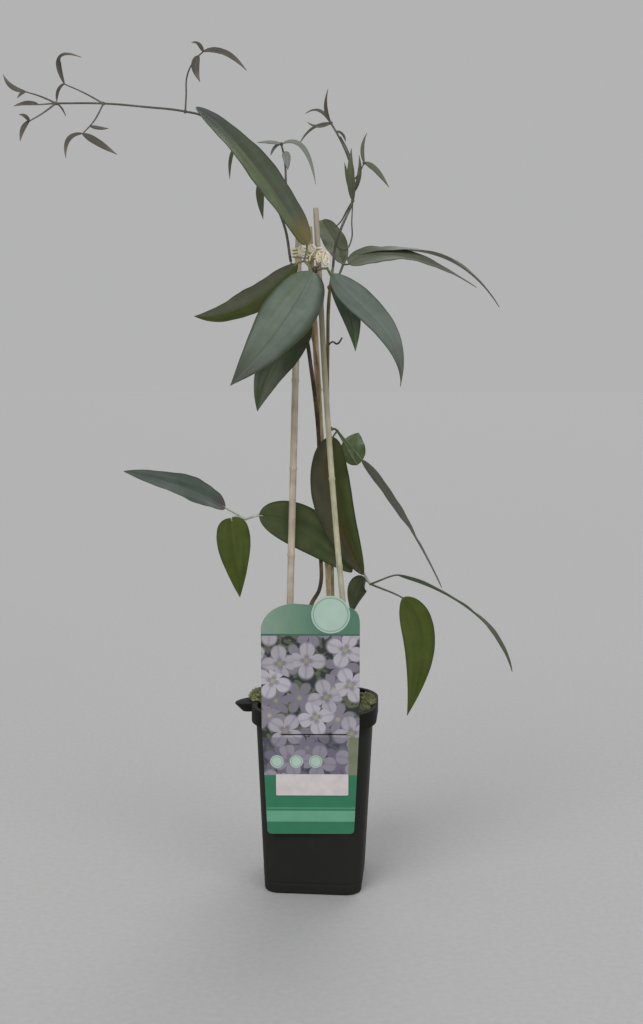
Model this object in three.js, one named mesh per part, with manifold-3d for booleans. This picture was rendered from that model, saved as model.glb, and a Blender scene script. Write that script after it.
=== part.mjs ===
// An evergreen clematis that climbs three tied canes, in a square nursery pot.
// Units are millimetres and +Z is up. The origin is the centre of the pot's base, and the
// pot's front, where the label hangs, looks along -Y.
import * as THREE from 'three';
import { mergeVertices } from 'three/addons/utils/BufferGeometryUtils.js';
import Module from 'manifold-3d';

const wasm = await Module();
wasm.setup();

// Driving dimensions ---------------------------------------------------------------------

const GAP = 0.3; // clearance between pieces that touch on the real plant
const TOLERANCE = 0.06; // slivers thinner than this are dropped where solids join

const POT = {
  height: 187,
  baseWidth: 98,
  topWidth: 118,
  baseRadius: 16, // corner radius of the plan at the base
  topRadius: 38,
  wall: 1.6,
  floor: 2.4,
  footBevel: 2,
  drainRadius: 5,
  drainOffset: 27,
};
const RIM = { width: 126, radius: 42, depth: 16, wall: 1.8, edgeRound: 1.6 };
// The flared lug on the left of the rim, open below and drooping outwards.
const LUG = {
  reach: 21,
  halfWidth: 15,
  y: -4,
  depth: 10,
  taper: 0.62,
  innerTaper: 0.55,
  wall: 1.8,
  edgeRound: 1.2,
  droop: 0.13,
  sides: 20,
};
const SOIL = { edge: 178, middle: 187, frontDip: 6 };
// Raised clumps on the soil: where, how far across, how high.
const MOSS_CLUMPS = [
  { x: -46, y: 5, spread: 10, height: 14 },
  { x: 46, y: -4, spread: 10, height: 13 },
  { x: -4, y: 28, spread: 17, height: 5 },
];
// Cushions of moss that spill over the rim: centre and half-axes.
const MOSS_SPILLS = [
  { centre: [-58, 4, 186], half: [12, 12, 9] },
  { centre: [51, -4, 186], half: [10, 13, 9] },
];
const CANE = { ridge: 0.55, nodeSpacing: 88, firstNode: 53, buried: 72, sides: 8 };
const TIE = {
  height: 637,
  twine: 1.3,
  turns: 3,
  pitch: 3.2,
  slack: 0.9,
  tailRadius: 1.1,
  // The bow's knots: centre and half-axes.
  knots: [
    { centre: [8, -11.6, 631.5], half: [6.8, 4.6, 7] },
    { centre: [-3, -10.6, 641], half: [4.6, 2.6, 4] },
    { centre: [-14, -8.8, 638.5], half: [2.6, 2.4, 5.4] },
  ],
  tails: [
    [[10, -13, 633], [14, -15, 631], [14, -15, 626]],
    [[0, -11, 639], [-4, -12.5, 634], [-5, -13, 629]],
  ],
};
const BLADE = { thickness: 0.8, widest: 0.38, round: 0.62, stalk: 1, hookRise: 6.75 };
const LABEL = {
  topWidth: 95,
  bottomWidth: 86,
  height: 236,
  taperHeight: 112,
  corner: 5,
  crown: 4,
  leftShoulder: { run: 30, drop: 24 },
  rightShoulder: { run: 14, drop: 20 },
  thickness: 0.9,
  bottom: 66,
  reachAtBottom: 55.4, // distance of the card's back from the pot's axis, at its lower edge
  tilt: THREE.MathUtils.degToRad(5.2),
  yaw: THREE.MathUtils.degToRad(4.5),
  shiftX: 0,
  slitWidth: 64,
  slitHeight: 1.4,
  slitX: 3,
  slitBelowRim: 1.5,
  hookWidth: 30,
  hookReach: 54.3,
  hookDrop: 11,
  hookThickness: 1,
  hookOverlap: 0.4, // how far the strap runs into the card
};
const MEDALLION = { x: 19.5, y: 225, radius: 18.5 };
const STICKER = { width: 71, height: 22, x: 1.5, y: 52, thickness: 0.6 };

// Finishes ---------------------------------------------------------------------------------

function finish(color, roughness) {
  return new THREE.MeshStandardMaterial({ color, roughness, metalness: 0 });
}

const blackPlastic = finish(0x262524, 0.55);
const pottingSoil = finish(0x3d3426, 0.95);
const bamboo = finish(0xb39d7a, 0.6);
const twine = finish(0xd9cba6, 0.85);
const wood = finish(0x5a4634, 0.8);
const leather = finish(0x4d5b3f, 0.45);
const oldLeaf = finish(0x47521f, 0.5);
const youngGrowth = finish(0x5a5a4c, 0.6);
const printedCard = finish(0x2f7a58, 0.4);
const paper = finish(0xcfc6c6, 0.7);

// Solids -----------------------------------------------------------------------------------

function v(point) {
  return new THREE.Vector3(...point);
}

function positionsOnly(geometry) {
  const plain = geometry.index ? geometry.toNonIndexed() : geometry.clone();
  plain.deleteAttribute('normal');
  plain.deleteAttribute('uv');
  return plain;
}

function solidOf(geometry) {
  const merged = mergeVertices(positionsOnly(geometry), 1e-4);
  return new wasm.Manifold(new wasm.Mesh({
    numProp: 3,
    vertProperties: new Float32Array(merged.attributes.position.array),
    triVerts: new Uint32Array(merged.index.array),
  }));
}

function geometryOf(solid) {
  const mesh = solid.getMesh();
  const geometry = new THREE.BufferGeometry();
  geometry.setAttribute('position', new THREE.BufferAttribute(mesh.vertProperties, 3));
  geometry.setIndex(new THREE.BufferAttribute(mesh.triVerts, 1));
  return geometry;
}

function fuse(geometries) {
  const [first, ...rest] = geometries.map(solidOf);
  return geometryOf(rest.reduce((whole, next) => whole.add(next), first).simplify(TOLERANCE));
}

function cut(geometry, tools) {
  const whole = solidOf(geometry);
  return geometryOf(tools.map(solidOf).reduce((left, tool) => left.subtract(tool), whole));
}

function piece(name, geometry, material) {
  const mesh = new THREE.Mesh(geometry, material);
  mesh.name = name;
  return mesh;
}

// A closed skin through rings of equally many points, each counter-clockwise from above.
// The first ring is closed by a fan below it and the last by a fan above it.
function skin(rings) {
  const positions = [];
  const triangle = (a, b, c) => positions.push(...a.toArray(), ...b.toArray(), ...c.toArray());
  const count = rings[0].length;
  const centre = (ring) => ring.reduce((sum, p) => sum.add(p), v([0, 0, 0])).divideScalar(count);
  const first = rings[0];
  const last = rings[rings.length - 1];
  for (let i = 0; i < count; i += 1) {
    const next = (i + 1) % count;
    triangle(centre(first), first[next], first[i]);
    triangle(centre(last), last[i], last[next]);
    for (let r = 0; r + 1 < rings.length; r += 1) {
      triangle(rings[r][i], rings[r][next], rings[r + 1][next]);
      triangle(rings[r][i], rings[r + 1][next], rings[r + 1][i]);
    }
  }
  const geometry = new THREE.BufferGeometry();
  geometry.setAttribute('position', new THREE.Float32BufferAttribute(positions, 3));
  return geometry;
}

// A tube of even radius through hand-placed points.
function tube(points, radius, { sides = 5, stepsPerSpan = 2 } = {}) {
  const section = new THREE.Shape(Array.from({ length: sides }, (_, i) => {
    const angle = (2 * Math.PI * i) / sides;
    return new THREE.Vector2(radius * Math.sin(angle), radius * Math.cos(angle));
  }));
  return new THREE.ExtrudeGeometry(section, {
    steps: stepsPerSpan * (points.length - 1),
    extrudePath: new THREE.CatmullRomCurve3(points.map(v), false, 'centripetal'),
  });
}

function knob(centre, radius) {
  return new THREE.IcosahedronGeometry(radius, 0).translate(...centre);
}

// The pot and what is in it -----------------------------------------------------------------

const CORNER_STEPS = 6;

// The plan of the pot at one height: a square with round corners.
function squareRing({ width, radius, z }) {
  const ring = [];
  const inset = width / 2 - radius;
  for (let corner = 0; corner < 4; corner += 1) {
    for (let step = 0; step <= CORNER_STEPS; step += 1) {
      const angle = (corner + step / CORNER_STEPS) * (Math.PI / 2);
      const diagonal = (corner + 0.5) * (Math.PI / 2);
      const x = Math.SQRT2 * inset * Math.cos(diagonal) + radius * Math.cos(angle);
      const y = Math.SQRT2 * inset * Math.sin(diagonal) + radius * Math.sin(angle);
      ring.push(new THREE.Vector3(x, y, z));
    }
  }
  return ring;
}

// The pot's tapered body, drawn in by some millimetres from its outside.
function bodyRing(z, drawnIn = 0) {
  const { lerp } = THREE.MathUtils;
  const share = z / POT.height;
  const width = lerp(POT.baseWidth, POT.topWidth, share) - 2 * drawnIn;
  const radius = lerp(POT.baseRadius, POT.topRadius, share) - drawnIn;
  return squareRing({ width, radius, z });
}

function rimRing(z, drawnIn) {
  return squareRing({ width: RIM.width - 2 * drawnIn, radius: RIM.radius - drawnIn, z });
}

// The lug as a hollow half-cap, cut off inside the rim's wall.
function lug() {
  const root = RIM.width / 2 - RIM.wall / 2;
  const ring = (z, share, drawnIn) => Array.from({ length: LUG.sides }, (_, i) => {
    const angle = (i / LUG.sides) * 2 * Math.PI;
    const out = (LUG.reach * share - drawnIn) * Math.cos(angle);
    const across = (LUG.halfWidth * share - drawnIn) * Math.sin(angle);
    return new THREE.Vector3(-root + out, LUG.y + across, z + LUG.droop * Math.min(0, out));
  });
  const bottom = POT.height - LUG.depth;
  const outside = skin([
    ring(bottom, LUG.taper, 0),
    ring(POT.height - LUG.edgeRound, 1, 0),
    ring(POT.height, 1, LUG.edgeRound),
  ]);
  const inside = skin([
    ring(bottom - 2, LUG.innerTaper, LUG.wall),
    ring(POT.height - LUG.wall, 1, LUG.wall),
  ]);
  const potSide = new THREE.BoxGeometry(100, 100, 100).translate(50 - root, 0, POT.height);
  return cut(outside, [inside, potSide]);
}

function pot() {
  const underRim = POT.height - RIM.wall;
  const lipBottom = POT.height - RIM.depth;
  const shell = skin([
    bodyRing(0, POT.footBevel),
    bodyRing(POT.footBevel),
    bodyRing(lipBottom),
    bodyRing(underRim),
    rimRing(underRim, RIM.wall),
    rimRing(lipBottom, RIM.wall),
    rimRing(lipBottom, 0),
    rimRing(POT.height - RIM.edgeRound, 0),
    rimRing(POT.height, RIM.edgeRound),
    bodyRing(POT.height, POT.wall),
    bodyRing(lipBottom, POT.wall),
    bodyRing(POT.floor, POT.wall),
  ]);
  const drains = [];
  for (const x of [-POT.drainOffset, POT.drainOffset]) {
    for (const y of [-POT.drainOffset, POT.drainOffset]) {
      const drain = new THREE.CylinderGeometry(POT.drainRadius, POT.drainRadius, 4 * POT.floor, 12);
      drains.push(drain.rotateX(Math.PI / 2).translate(x, y, 0));
    }
  }
  return cut(fuse([shell, lug()]), drains);
}

// Height of the mounded soil, which dips at the front under the label's hook.
function soilTop(x, y) {
  const reach = Math.min(1, Math.hypot(x, y) / (POT.topWidth / 2));
  const mound = THREE.MathUtils.lerp(SOIL.middle, SOIL.edge, reach ** 3);
  const clumps = MOSS_CLUMPS.map(({ x: cx, y: cy, spread, height }) => (
    height * Math.exp(-((x - cx) ** 2 + (y - cy) ** 2) / (2 * spread ** 2))));
  const crumbs = 0.9 * Math.sin(x / 4.1) * Math.cos(y / 5.3);
  const dip = SOIL.frontDip * THREE.MathUtils.smoothstep(-y, 36, 52);
  return mound + crumbs - dip + clumps.reduce((sum, height) => sum + height, 0);
}

function soil(holes) {
  const inside = POT.wall + GAP;
  const rings = [
    bodyRing(POT.floor + GAP, inside + 1),
    bodyRing(20, inside),
    bodyRing(SOIL.edge - 12, inside),
  ];
  const edge = bodyRing(SOIL.edge - SOIL.frontDip, inside);
  for (const share of [1, 0.93, 0.82, 0.66, 0.46, 0.22]) {
    rings.push(edge.map((p) => {
      const [x, y] = [p.x * share, p.y * share];
      return new THREE.Vector3(x, y, soilTop(x, y));
    }));
  }
  const overRim = POT.height + GAP;
  const plan = skin([120, POT.height, POT.height + 9].map((z) => bodyRing(z, inside)));
  const potWall = cut(new THREE.BoxGeometry(400, 400, 50).translate(0, 0, overRim - 25), [plan]);
  const spills = MOSS_SPILLS.map(({ centre, half }) => {
    const cushion = new THREE.SphereGeometry(1, 10, 6).rotateX(Math.PI / 2);
    return cut(cushion.scale(...half).translate(...centre), [potWall]);
  });
  return cut(fuse([skin(rings), ...spills]), holes);
}

// Canes and their tie -----------------------------------------------------------------------

const canes = {
  left: { ground: [-29, -2, 180], tip: [-16, -2, 672], footRadius: 3.7, tipRadius: 3.3 },
  right: {
    ground: [42, -26, 172], tip: [-1, -1, 681], footRadius: 3, tipRadius: 2.7, bow: -4,
  },
  back: { ground: [17, 42, 172], tip: [-7, 5, 664], footRadius: 3.5, tipRadius: 3.1 },
};

// How far a cane swings sideways at a height: not at all below ground and at the tie, and most
// halfway.
function bowAt({ ground, bow = 0 }, z) {
  const share = Math.max(0, z - ground[2]) / (TIE.height - ground[2]);
  return bow * Math.sin(Math.PI * share);
}

function bowed(geometry, place) {
  const { position } = geometry.attributes;
  for (let i = 0; i < position.count; i += 1) {
    position.setX(i, position.getX(i) + bowAt(place, position.getZ(i)));
  }
  return geometry;
}

function caneLine({ ground, tip }) {
  const up = v(tip).sub(v(ground)).normalize();
  const foot = v(ground).addScaledVector(up, -CANE.buried);
  return { foot, up, length: foot.distanceTo(v(tip)) };
}

// Turns a solid that was made along +Y from the origin to stand on a line.
function standOn(geometry, { foot, up }) {
  const turn = new THREE.Quaternion().setFromUnitVectors(new THREE.Vector3(0, 1, 0), up);
  return geometry.applyQuaternion(turn).translate(...foot.toArray());
}

// Bamboo: a slow taper with a raised ring at each node.
function cane(place) {
  const line = caneLine(place);
  const radiusAt = (y) => THREE.MathUtils.lerp(place.footRadius, place.tipRadius, y / line.length);
  const profile = [new THREE.Vector2(0, 0), new THREE.Vector2(radiusAt(0), 0)];
  for (let y = CANE.firstNode; y < line.length - 10; y += CANE.nodeSpacing) {
    profile.push(new THREE.Vector2(radiusAt(y), y - 2.5));
    profile.push(new THREE.Vector2(radiusAt(y) + CANE.ridge, y));
    profile.push(new THREE.Vector2(radiusAt(y), y + 1.5));
  }
  profile.push(new THREE.Vector2(radiusAt(line.length), line.length));
  profile.push(new THREE.Vector2(0, line.length));
  return bowed(standOn(new THREE.LatheGeometry(profile, CANE.sides), line), place);
}

function caneHole(place) {
  const line = caneLine(place);
  const length = CANE.buried + 60;
  const radius = place.footRadius + CANE.ridge + GAP;
  const hole = new THREE.CylinderGeometry(radius, radius, length, 12, 3);
  return bowed(standOn(hole.translate(0, length / 2 - GAP, 0), line), place);
}

// Where a cane's axis passes a height.
function caneAt(place, z) {
  const { ground, tip } = place;
  const point = v(ground).lerp(v(tip), (z - ground[2]) / (tip[2] - ground[2]));
  point.x += bowAt(place, z);
  return point;
}

// Twine wound round the three canes: it follows the hull of their sections, a turn above a
// turn, and ends in a bow.
function tie() {
  const stepsPerTurn = 12;
  const sections = Object.values(canes).map((place) => ({
    centre: caneAt(place, TIE.height),
    reach: place.tipRadius + CANE.ridge + TIE.slack + TIE.twine,
  }));
  const route = [];
  for (let i = 0; i <= TIE.turns * stepsPerTurn; i += 1) {
    const angle = (2 * Math.PI * i) / stepsPerTurn - Math.PI / 4;
    const z = TIE.height + (i / stepsPerTurn - TIE.turns / 2) * TIE.pitch;
    const way = new THREE.Vector3(Math.cos(angle), Math.sin(angle), 0);
    const onHull = sections.map(({ centre, reach }) => centre.clone().addScaledVector(way, reach));
    const outermost = onHull.reduce((best, p) => (p.dot(way) > best.dot(way) ? p : best));
    route.push([outermost.x, outermost.y, z]);
  }
  return fuse([
    tube(route, TIE.twine, { stepsPerSpan: 1 }),
    ...TIE.knots.map(({ centre, half }) => (
      new THREE.IcosahedronGeometry(1, 1).scale(...half).translate(...centre))),
    ...TIE.tails.map((tail) => tube(tail, TIE.tailRadius)),
  ]);
}

// Woody stems -------------------------------------------------------------------------------

const STEM = { main: 2.1, second: 1.7, branch: 1.3, node: 2.9 };

const mainRoute = [
  [-11, 7, 150], [-11, 7, 185], [-11, 8, 247], [-6, 10, 283], [3, 11, 301], [4, 12, 335],
  [3, 13, 391], [2, 11, 453], [-1, 7, 493], [-6, 0, 535], [-9, -7, 567], [-6, -13, 596],
  [0, -14, 622],
];
const branchRoute = [
  [2, 11, 455], [3, 11, 493], [1, 9.4, 528], [-9, 9, 573], [-19, 9, 602], [-25, 4, 629],
];
const secondRoute = [
  [17, 16, 150], [17, 16, 183], [17, 16, 246], [16, 15, 299], [15, 15, 340], [13, 15, 391],
  [12, 13, 442], [11, 11, 493], [11, 13, 543], [12, 14, 593], [16, 13, 624],
];
const driedTendril = [[11, 13, 547], [16, 10, 551], [21, 7, 549], [26, 6, 555]];

function stemMain() {
  return fuse([
    tube(mainRoute, STEM.main, { sides: 6 }),
    tube(branchRoute, STEM.branch),
    knob([0, -14, 620], STEM.node),
    knob([-9, -7, 567], STEM.node),
    knob([3, 12.5, 361], STEM.node),
  ]);
}

function stemSecond() {
  return fuse([
    tube(secondRoute, STEM.second, { sides: 6 }),
    tube(driedTendril, 0.9),
    knob([13, 14, 605], STEM.node - 0.4),
    knob([11.5, 12, 463], STEM.node - 0.4),
    knob([15, 15, 335], STEM.node - 0.4),
  ]);
}

function stemHole(route, radius) {
  return tube(route.slice(0, 3), radius + GAP, { sides: 8 }).translate(0, 0, -GAP);
}

// Leaves ------------------------------------------------------------------------------------

// Share of the full width along a leaf: a rounded base, then a long taper to a drawn-out tip.
function outline(t, widest, round) {
  const taper = (round * (1 - widest)) / widest;
  return (t / widest) ** round * ((1 - t) / (1 - widest)) ** taper;
}

// One leaf blade as a thin closed solid. Its midrib bends from base to tip, its face looks
// along `face` and rolls by `turn` degrees on the way, `hook` carries it sideways near the tip,
// both halves rise from the midrib by `fold`, and the margins wave.
function blade({
  base, bend, tip, width, face, turn = [0, 0], hook = 0, fold = 0.16, wave = 0.07, waves = 2.2,
  widest = BLADE.widest, round = BLADE.round, fine = true,
}) {
  const rows = fine ? 9 : 4;
  const halfColumns = fine ? 2 : 1;
  const thickness = fine ? BLADE.thickness : 0.7;
  const midrib = new THREE.QuadraticBezierCurve3(v(base), v(bend), v(tip));
  const upper = [];
  const lower = [];
  for (let row = 0; row <= rows; row += 1) {
    const t = (1 - Math.cos((Math.PI * row) / rows)) / 2;
    const along = midrib.getTangent(t);
    const roll = THREE.MathUtils.degToRad(THREE.MathUtils.lerp(...turn, t));
    const normal = v(face).addScaledVector(along, -v(face).dot(along)).normalize()
      .applyAxisAngle(along, roll);
    const side = along.clone().cross(normal);
    const sweep = hook * BLADE.hookRise * t * t * (1 - t);
    const half = Math.max((width / 2) * outline(t, widest, round), fine ? BLADE.stalk : 0.6);
    for (let column = -halfColumns; column <= halfColumns; column += 1) {
      const s = column / halfColumns;
      const ripple = wave * Math.sin(2 * Math.PI * waves * t + Math.sign(s)) * s * s;
      const middle = midrib.getPoint(t)
        .addScaledVector(side, half * s * (1 - fold / 3) + sweep)
        .addScaledVector(normal, half * (fold * Math.abs(s) + ripple));
      upper.push(middle.clone().addScaledVector(normal, thickness / 2));
      lower.push(middle.clone().addScaledVector(normal, -thickness / 2));
    }
  }
  return sheet(upper, lower, rows, 2 * halfColumns);
}

// Closes two equal grids of points, one above the other, into a solid. Both faces are split
// into triangles along the same diagonals.
function sheet(upper, lower, rows, columns) {
  const positions = [];
  const triangle = (a, b, c) => positions.push(...a.toArray(), ...b.toArray(), ...c.toArray());
  const at = (row, column) => row * (columns + 1) + column;
  const wall = (from, to) => {
    triangle(upper[from], upper[to], lower[to]);
    triangle(upper[from], lower[to], lower[from]);
  };
  for (let row = 0; row < rows; row += 1) {
    for (let column = 0; column < columns; column += 1) {
      const a = at(row, column);
      const b = at(row + 1, column);
      const c = at(row + 1, column + 1);
      const d = at(row, column + 1);
      triangle(upper[a], upper[d], upper[c]);
      triangle(upper[a], upper[c], upper[b]);
      triangle(lower[a], lower[c], lower[d]);
      triangle(lower[a], lower[b], lower[c]);
    }
    wall(at(row, 0), at(row + 1, 0));
    wall(at(row + 1, columns), at(row, columns));
  }
  for (let column = 0; column < columns; column += 1) {
    wall(at(0, column + 1), at(0, column));
    wall(at(rows, column), at(rows, column + 1));
  }
  const geometry = new THREE.BufferGeometry();
  geometry.setAttribute('position', new THREE.Float32BufferAttribute(positions, 3));
  return geometry;
}

// A leaf in threes, or what shows of it: a stalk from the stem to a joint, and from there a
// short stalk into each leaflet.
function compoundLeaf({ stalk, leaflets, stalkRadius = 1.2 }) {
  const joint = stalk[stalk.length - 1];
  const parts = [tube(stalk, stalkRadius), knob(joint, stalkRadius * 1.25)];
  for (const leaflet of leaflets) {
    const base = v(leaflet.base);
    const into = base.clone().add(v(leaflet.bend).sub(base).setLength(4)).toArray();
    parts.push(tube([joint, leaflet.base, into], stalkRadius * 0.85), blade(leaflet));
  }
  return fuse(parts);
}

const leaves = {
  leaf_upper_left: {
    stalk: [[-2, -16.1, 621.6], [-6, -20, 626], [-9, -22, 628]],
    leaflets: [
      {
        base: [-7, -20, 644], bend: [-51, -45, 724], tip: [-114, -22, 775],
        width: 35, face: [0.35, -0.75, 0.55], fold: 0.28, round: 0.38,
      },
      {
        base: [-16, -25, 625], bend: [-60, -64, 568], tip: [-109, -68, 573],
        width: 33, face: [-0.25, -0.85, 0.45],
      },
      {
        base: [-1, -28, 617], bend: [-16, -81, 566], tip: [-69, -106, 508],
        width: 53, face: [0.05, -0.95, 0.3], fold: 0.12,
      },
    ],
  },
  leaf_upper_low: {
    stalk: [[-8.2, -10.5, 567], [-6, -13, 568], [-4, -15, 569.5]],
    leaflets: [
      {
        base: [-3, -17, 568], bend: [-44, -33, 535], tip: [-52, -50, 483],
        width: 38, face: [-0.1, -0.95, 0.1],
      },
    ],
  },
  leaf_upper_right: {
    stalk: [[3.3, -14.8, 620], [8, -16.5, 621], [13, -18, 621]],
    leaflets: [
      {
        base: [18, -24, 615], bend: [57, -38, 567], tip: [86, -67, 507],
        width: 31, face: [0.2, -0.9, 0.4], wave: 0.05, widest: 0.32, hook: -13,
      },
      {
        base: [17, -17, 613], bend: [39, -6, 588], tip: [41, -24, 541],
        width: 23, face: [0.1, -0.95, 0.1],
      },
    ],
  },
  leaf_upper_back: {
    stalk: [[15.9, 15, 606], [22, 18, 618], [26, 18, 628]],
    leaflets: [
      {
        base: [32, 15, 628], bend: [81, 38, 657], tip: [160, 54, 607],
        width: 31, face: [0.1, -0.5, 0.85], turn: [10, -16], fold: 0.1, widest: 0.3, round: 0.42,
      },
      {
        base: [30, 24, 635], bend: [133, 76, 669], tip: [185, 86, 589],
        width: 27, face: [0, -0.14, 1], turn: [0, 12],
      },
      {
        base: [24, 24, 630], bend: [17, 56, 654], tip: [-2, 86, 680],
        width: 26, face: [0.1, -0.75, 0.6], widest: 0.56, round: 0.5,
      },
    ],
  },
  leaf_middle_left: {
    stalk: [[-0.2, 12.8, 362], [-12, 14, 369], [-25, 14, 376], [-48, 10, 379], [-71, -2, 373]],
    leaflets: [
      {
        base: [-58, 3, 376], bend: [-5, 8, 374], tip: [36, 9, 318],
        width: 45, face: [-0.05, -1, 0.08], fold: 0.08, wave: 0.03, widest: 0.42, round: 0.5,
      },
      {
        base: [-91, -8, 385], bend: [-112, -31, 407], tip: [-185, -46, 424],
        width: 32, face: [0.1, -0.66, 0.72], widest: 0.42,
      },
      {
        base: [-84, -11, 375], bend: [-78, -30, 345], tip: [-73, -32, 298],
        width: 36, face: [0, -1, 0.1], widest: 0.3, round: 0.42,
      },
    ],
  },
  leaf_middle_right: {
    stalk: [[14.3, 11.6, 463], [18, 10, 464], [21, 9, 462]],
    leaflets: [
      {
        base: [17, 5, 456], bend: [3, 2, 396], tip: [48, 6, 316],
        width: 43, face: [-0.1, -1, 0.05], widest: 0.42, round: 0.5,
      },
      {
        base: [41, 10, 428], bend: [31, 28, 446], tip: [40, 52, 458],
        width: 26, face: [0, -0.9, 0.5], fold: 0.1, round: 0.5,
      },
      {
        base: [46, 7, 433], bend: [94, 5, 374], tip: [127, -23, 309],
        width: 22, face: [0.83, 0.08, 0.54], turn: [-38, 16], fold: 0.1,
      },
    ],
  },
  leaf_lower_right: {
    stalk: [[18, 15.2, 335], [36, 16, 330], [55, 11, 306]],
    leaflets: [
      {
        base: [83, 3, 317], bend: [181, -4, 289], tip: [197, -27, 227],
        width: 20, face: [0.58, 0.06, 0.81], turn: [-24, 22], fold: 0.12,
      },
      {
        base: [88, 6, 293], bend: [119, -6, 262], tip: [94, -26, 180],
        width: 35, face: [0.15, -0.97, 0.15],
      },
      {
        base: [50, 14, 309], bend: [38, 21, 306], tip: [35, 29, 271],
        width: 21, face: [0.2, -0.9, 0.4],
      },
    ],
  },
};

// Young shoots ------------------------------------------------------------------------------

const YOUNG = { stem: 1.25, stalk: 0.9, node: 1.9 };
const LOOK_FORWARD = [0, -0.8, 0.6];

// Young leaflets are written as [base, bend, tip, width].
function shoot({ stems, stalks, nodes, leaflets }) {
  return fuse([
    ...stems.map((route) => tube(route, YOUNG.stem)),
    ...stalks.map((route) => tube(route, YOUNG.stalk, { sides: 4, stepsPerSpan: 1 })),
    ...nodes.map((place) => knob(place, YOUNG.node)),
    ...leaflets.map(([base, bend, tip, width]) => (
      blade({ base, bend, tip, width, face: LOOK_FORWARD, fold: 0.3, wave: 0, fine: false }))),
  ]);
}

const shoots = {
  shoot_left: {
    stems: [[
      [-25.1, 3.9, 629.4], [-32, 1, 667], [-54, 3, 709], [-80, 3, 742], [-111, 2, 771],
      [-129, 1, 776], [-167, -9, 779], [-206, -18, 781], [-249, -32, 779],
    ]],
    nodes: [[-129, 1, 776], [-206, -18, 781], [-249, -32, 779]],
    stalks: [
      [[-129, 1, 776], [-128, 1, 791], [-126, -3, 809], [-117, -8, 823], [-108, -13, 829]],
      [[-206, -18, 781], [-227, -12, 793], [-248, -6, 803]],
      [[-206, -18, 781], [-213, -29, 762], [-222, -37, 749]],
      [[-249, -32, 779], [-266, -27, 787], [-281, -25, 792]],
      [[-249, -32, 779], [-265, -37, 777]],
      [[-249, -32, 779], [-260, -43, 767], [-270, -50, 759]],
    ],
    leaflets: [
      [[-113, -10, 826], [-119, -16, 815], [-110, -20, 799], 9],
      [[-108, -13, 829], [-86, -10, 834], [-68, 2, 814], 9],
      [[-108, -13, 829], [-112, -16, 838], [-118, -20, 836], 5],
      [[-248, -6, 803], [-263, -10, 840], [-227, -18, 825], 6],
      [[-248, -6, 803], [-257, -2, 799], [-259, 3, 788], 6],
      [[-216, -32, 757], [-206, -33, 753], [-197, -35, 754], 5],
      [[-222, -37, 749], [-239, -45, 747], [-235, -51, 724], 6],
      [[-222, -37, 749], [-207, -38, 739], [-190, -31, 730], 9],
      [[-281, -25, 792], [-299, -20, 794], [-306, -17, 811], 6],
      [[-281, -25, 792], [-285, -28, 790], [-288, -30, 785], 4],
      [[-265, -37, 777], [-275, -42, 778], [-286, -47, 774], 7],
      [[-270, -50, 759], [-277, -52, 753], [-277, -58, 739], 6],
      [[-270, -50, 759], [-273, -54, 764], [-278, -56, 764], 5],
      [[-249, -32, 779], [-246, -26, 777], [-244, -17, 770], 5],
      [[-54, 3, 709], [-57, 0, 695], [-52, 0, 671], 9],
      [[-80, 3, 742], [-86, -2, 730], [-84, -6, 709], 4],
    ],
  },
  shoot_young: {
    stems: [[[-32.6, 4, 670], [-31, 11, 691], [-31, 13, 711], [-32, 13, 730], [-35, 11, 745]]],
    nodes: [[-35, 11, 745]],
    stalks: [],
    leaflets: [
      [[-35, 11, 745], [-47, 14, 748], [-60, 17, 748], 5],
      [[-35, 11, 745], [-8, 4, 755], [0, 0, 704], 6],
      [[-32, 13, 738], [-29, 9, 732], [-28, 6, 719], 9],
      [[-35, 11, 745], [-43, 17, 744], [-47, 20, 736], 6],
    ],
  },
  shoot_right: {
    stems: [
      [
        [16.1, 13, 624.4], [19, 8, 646], [25, 4, 662], [30, 7, 674], [36, 9, 689],
        [37, 9, 709], [33, 6, 726], [27, 2, 741], [20, 0, 754], [15, -1, 762],
      ],
    ],
    stalks: [
      [[19, 8, 646], [28, 13, 642], [34, 13, 650], [35, 10, 670], [36, 9, 689]],
      [[37, 9, 709], [42, 12, 716], [47, 12, 726]],
      [[37, 9, 709], [36, 8, 722], [31, 5, 737], [24, 4, 750]],
      [[36, 9, 689], [30, 16, 681], [23, 30, 672], [17, 40, 668]],
    ],
    nodes: [[36, 9, 689], [47, 12, 726], [15, -1, 762]],
    leaflets: [
      [[36, 9, 689], [33, -3, 711], [35, 1, 738], 8],
      [[36, 9, 693], [30, 19, 711], [27, 20, 728], 5],
      [[37, 9, 697], [45, 14, 714], [42, 10, 733], 5],
      [[47, 12, 726], [58, 9, 722], [72, 0, 700], 7],
      [[47, 12, 726], [42, 16, 741], [49, 20, 756], 4],
      [[15, -1, 762], [7, -7, 773], [13, -11, 792], 4],
      [[15, -1, 762], [1, -10, 753], [-6, -17, 760], 5],
      [[15, -1, 762], [-6, 6, 763], [-17, 11, 745], 4],
      [[15, -1, 762], [4, 4, 782], [-11, 11, 774], 4],
      [[20, 0, 754], [27, 4, 754], [29, 9, 746], 4],
    ],
  },
};

// The label ---------------------------------------------------------------------------------

// Sets a piece of the label, made round the middle of the card's lower back edge, on the pot.
function setOnPot(geometry) {
  return geometry.rotateZ(LABEL.yaw).translate(LABEL.shiftX, -LABEL.reachAtBottom, LABEL.bottom);
}

// Stands a flat solid (x across, y up the card, z out of its face) up to the card's lean.
function stand(geometry) {
  return geometry.rotateX(Math.PI / 2 + LABEL.tilt);
}

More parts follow.
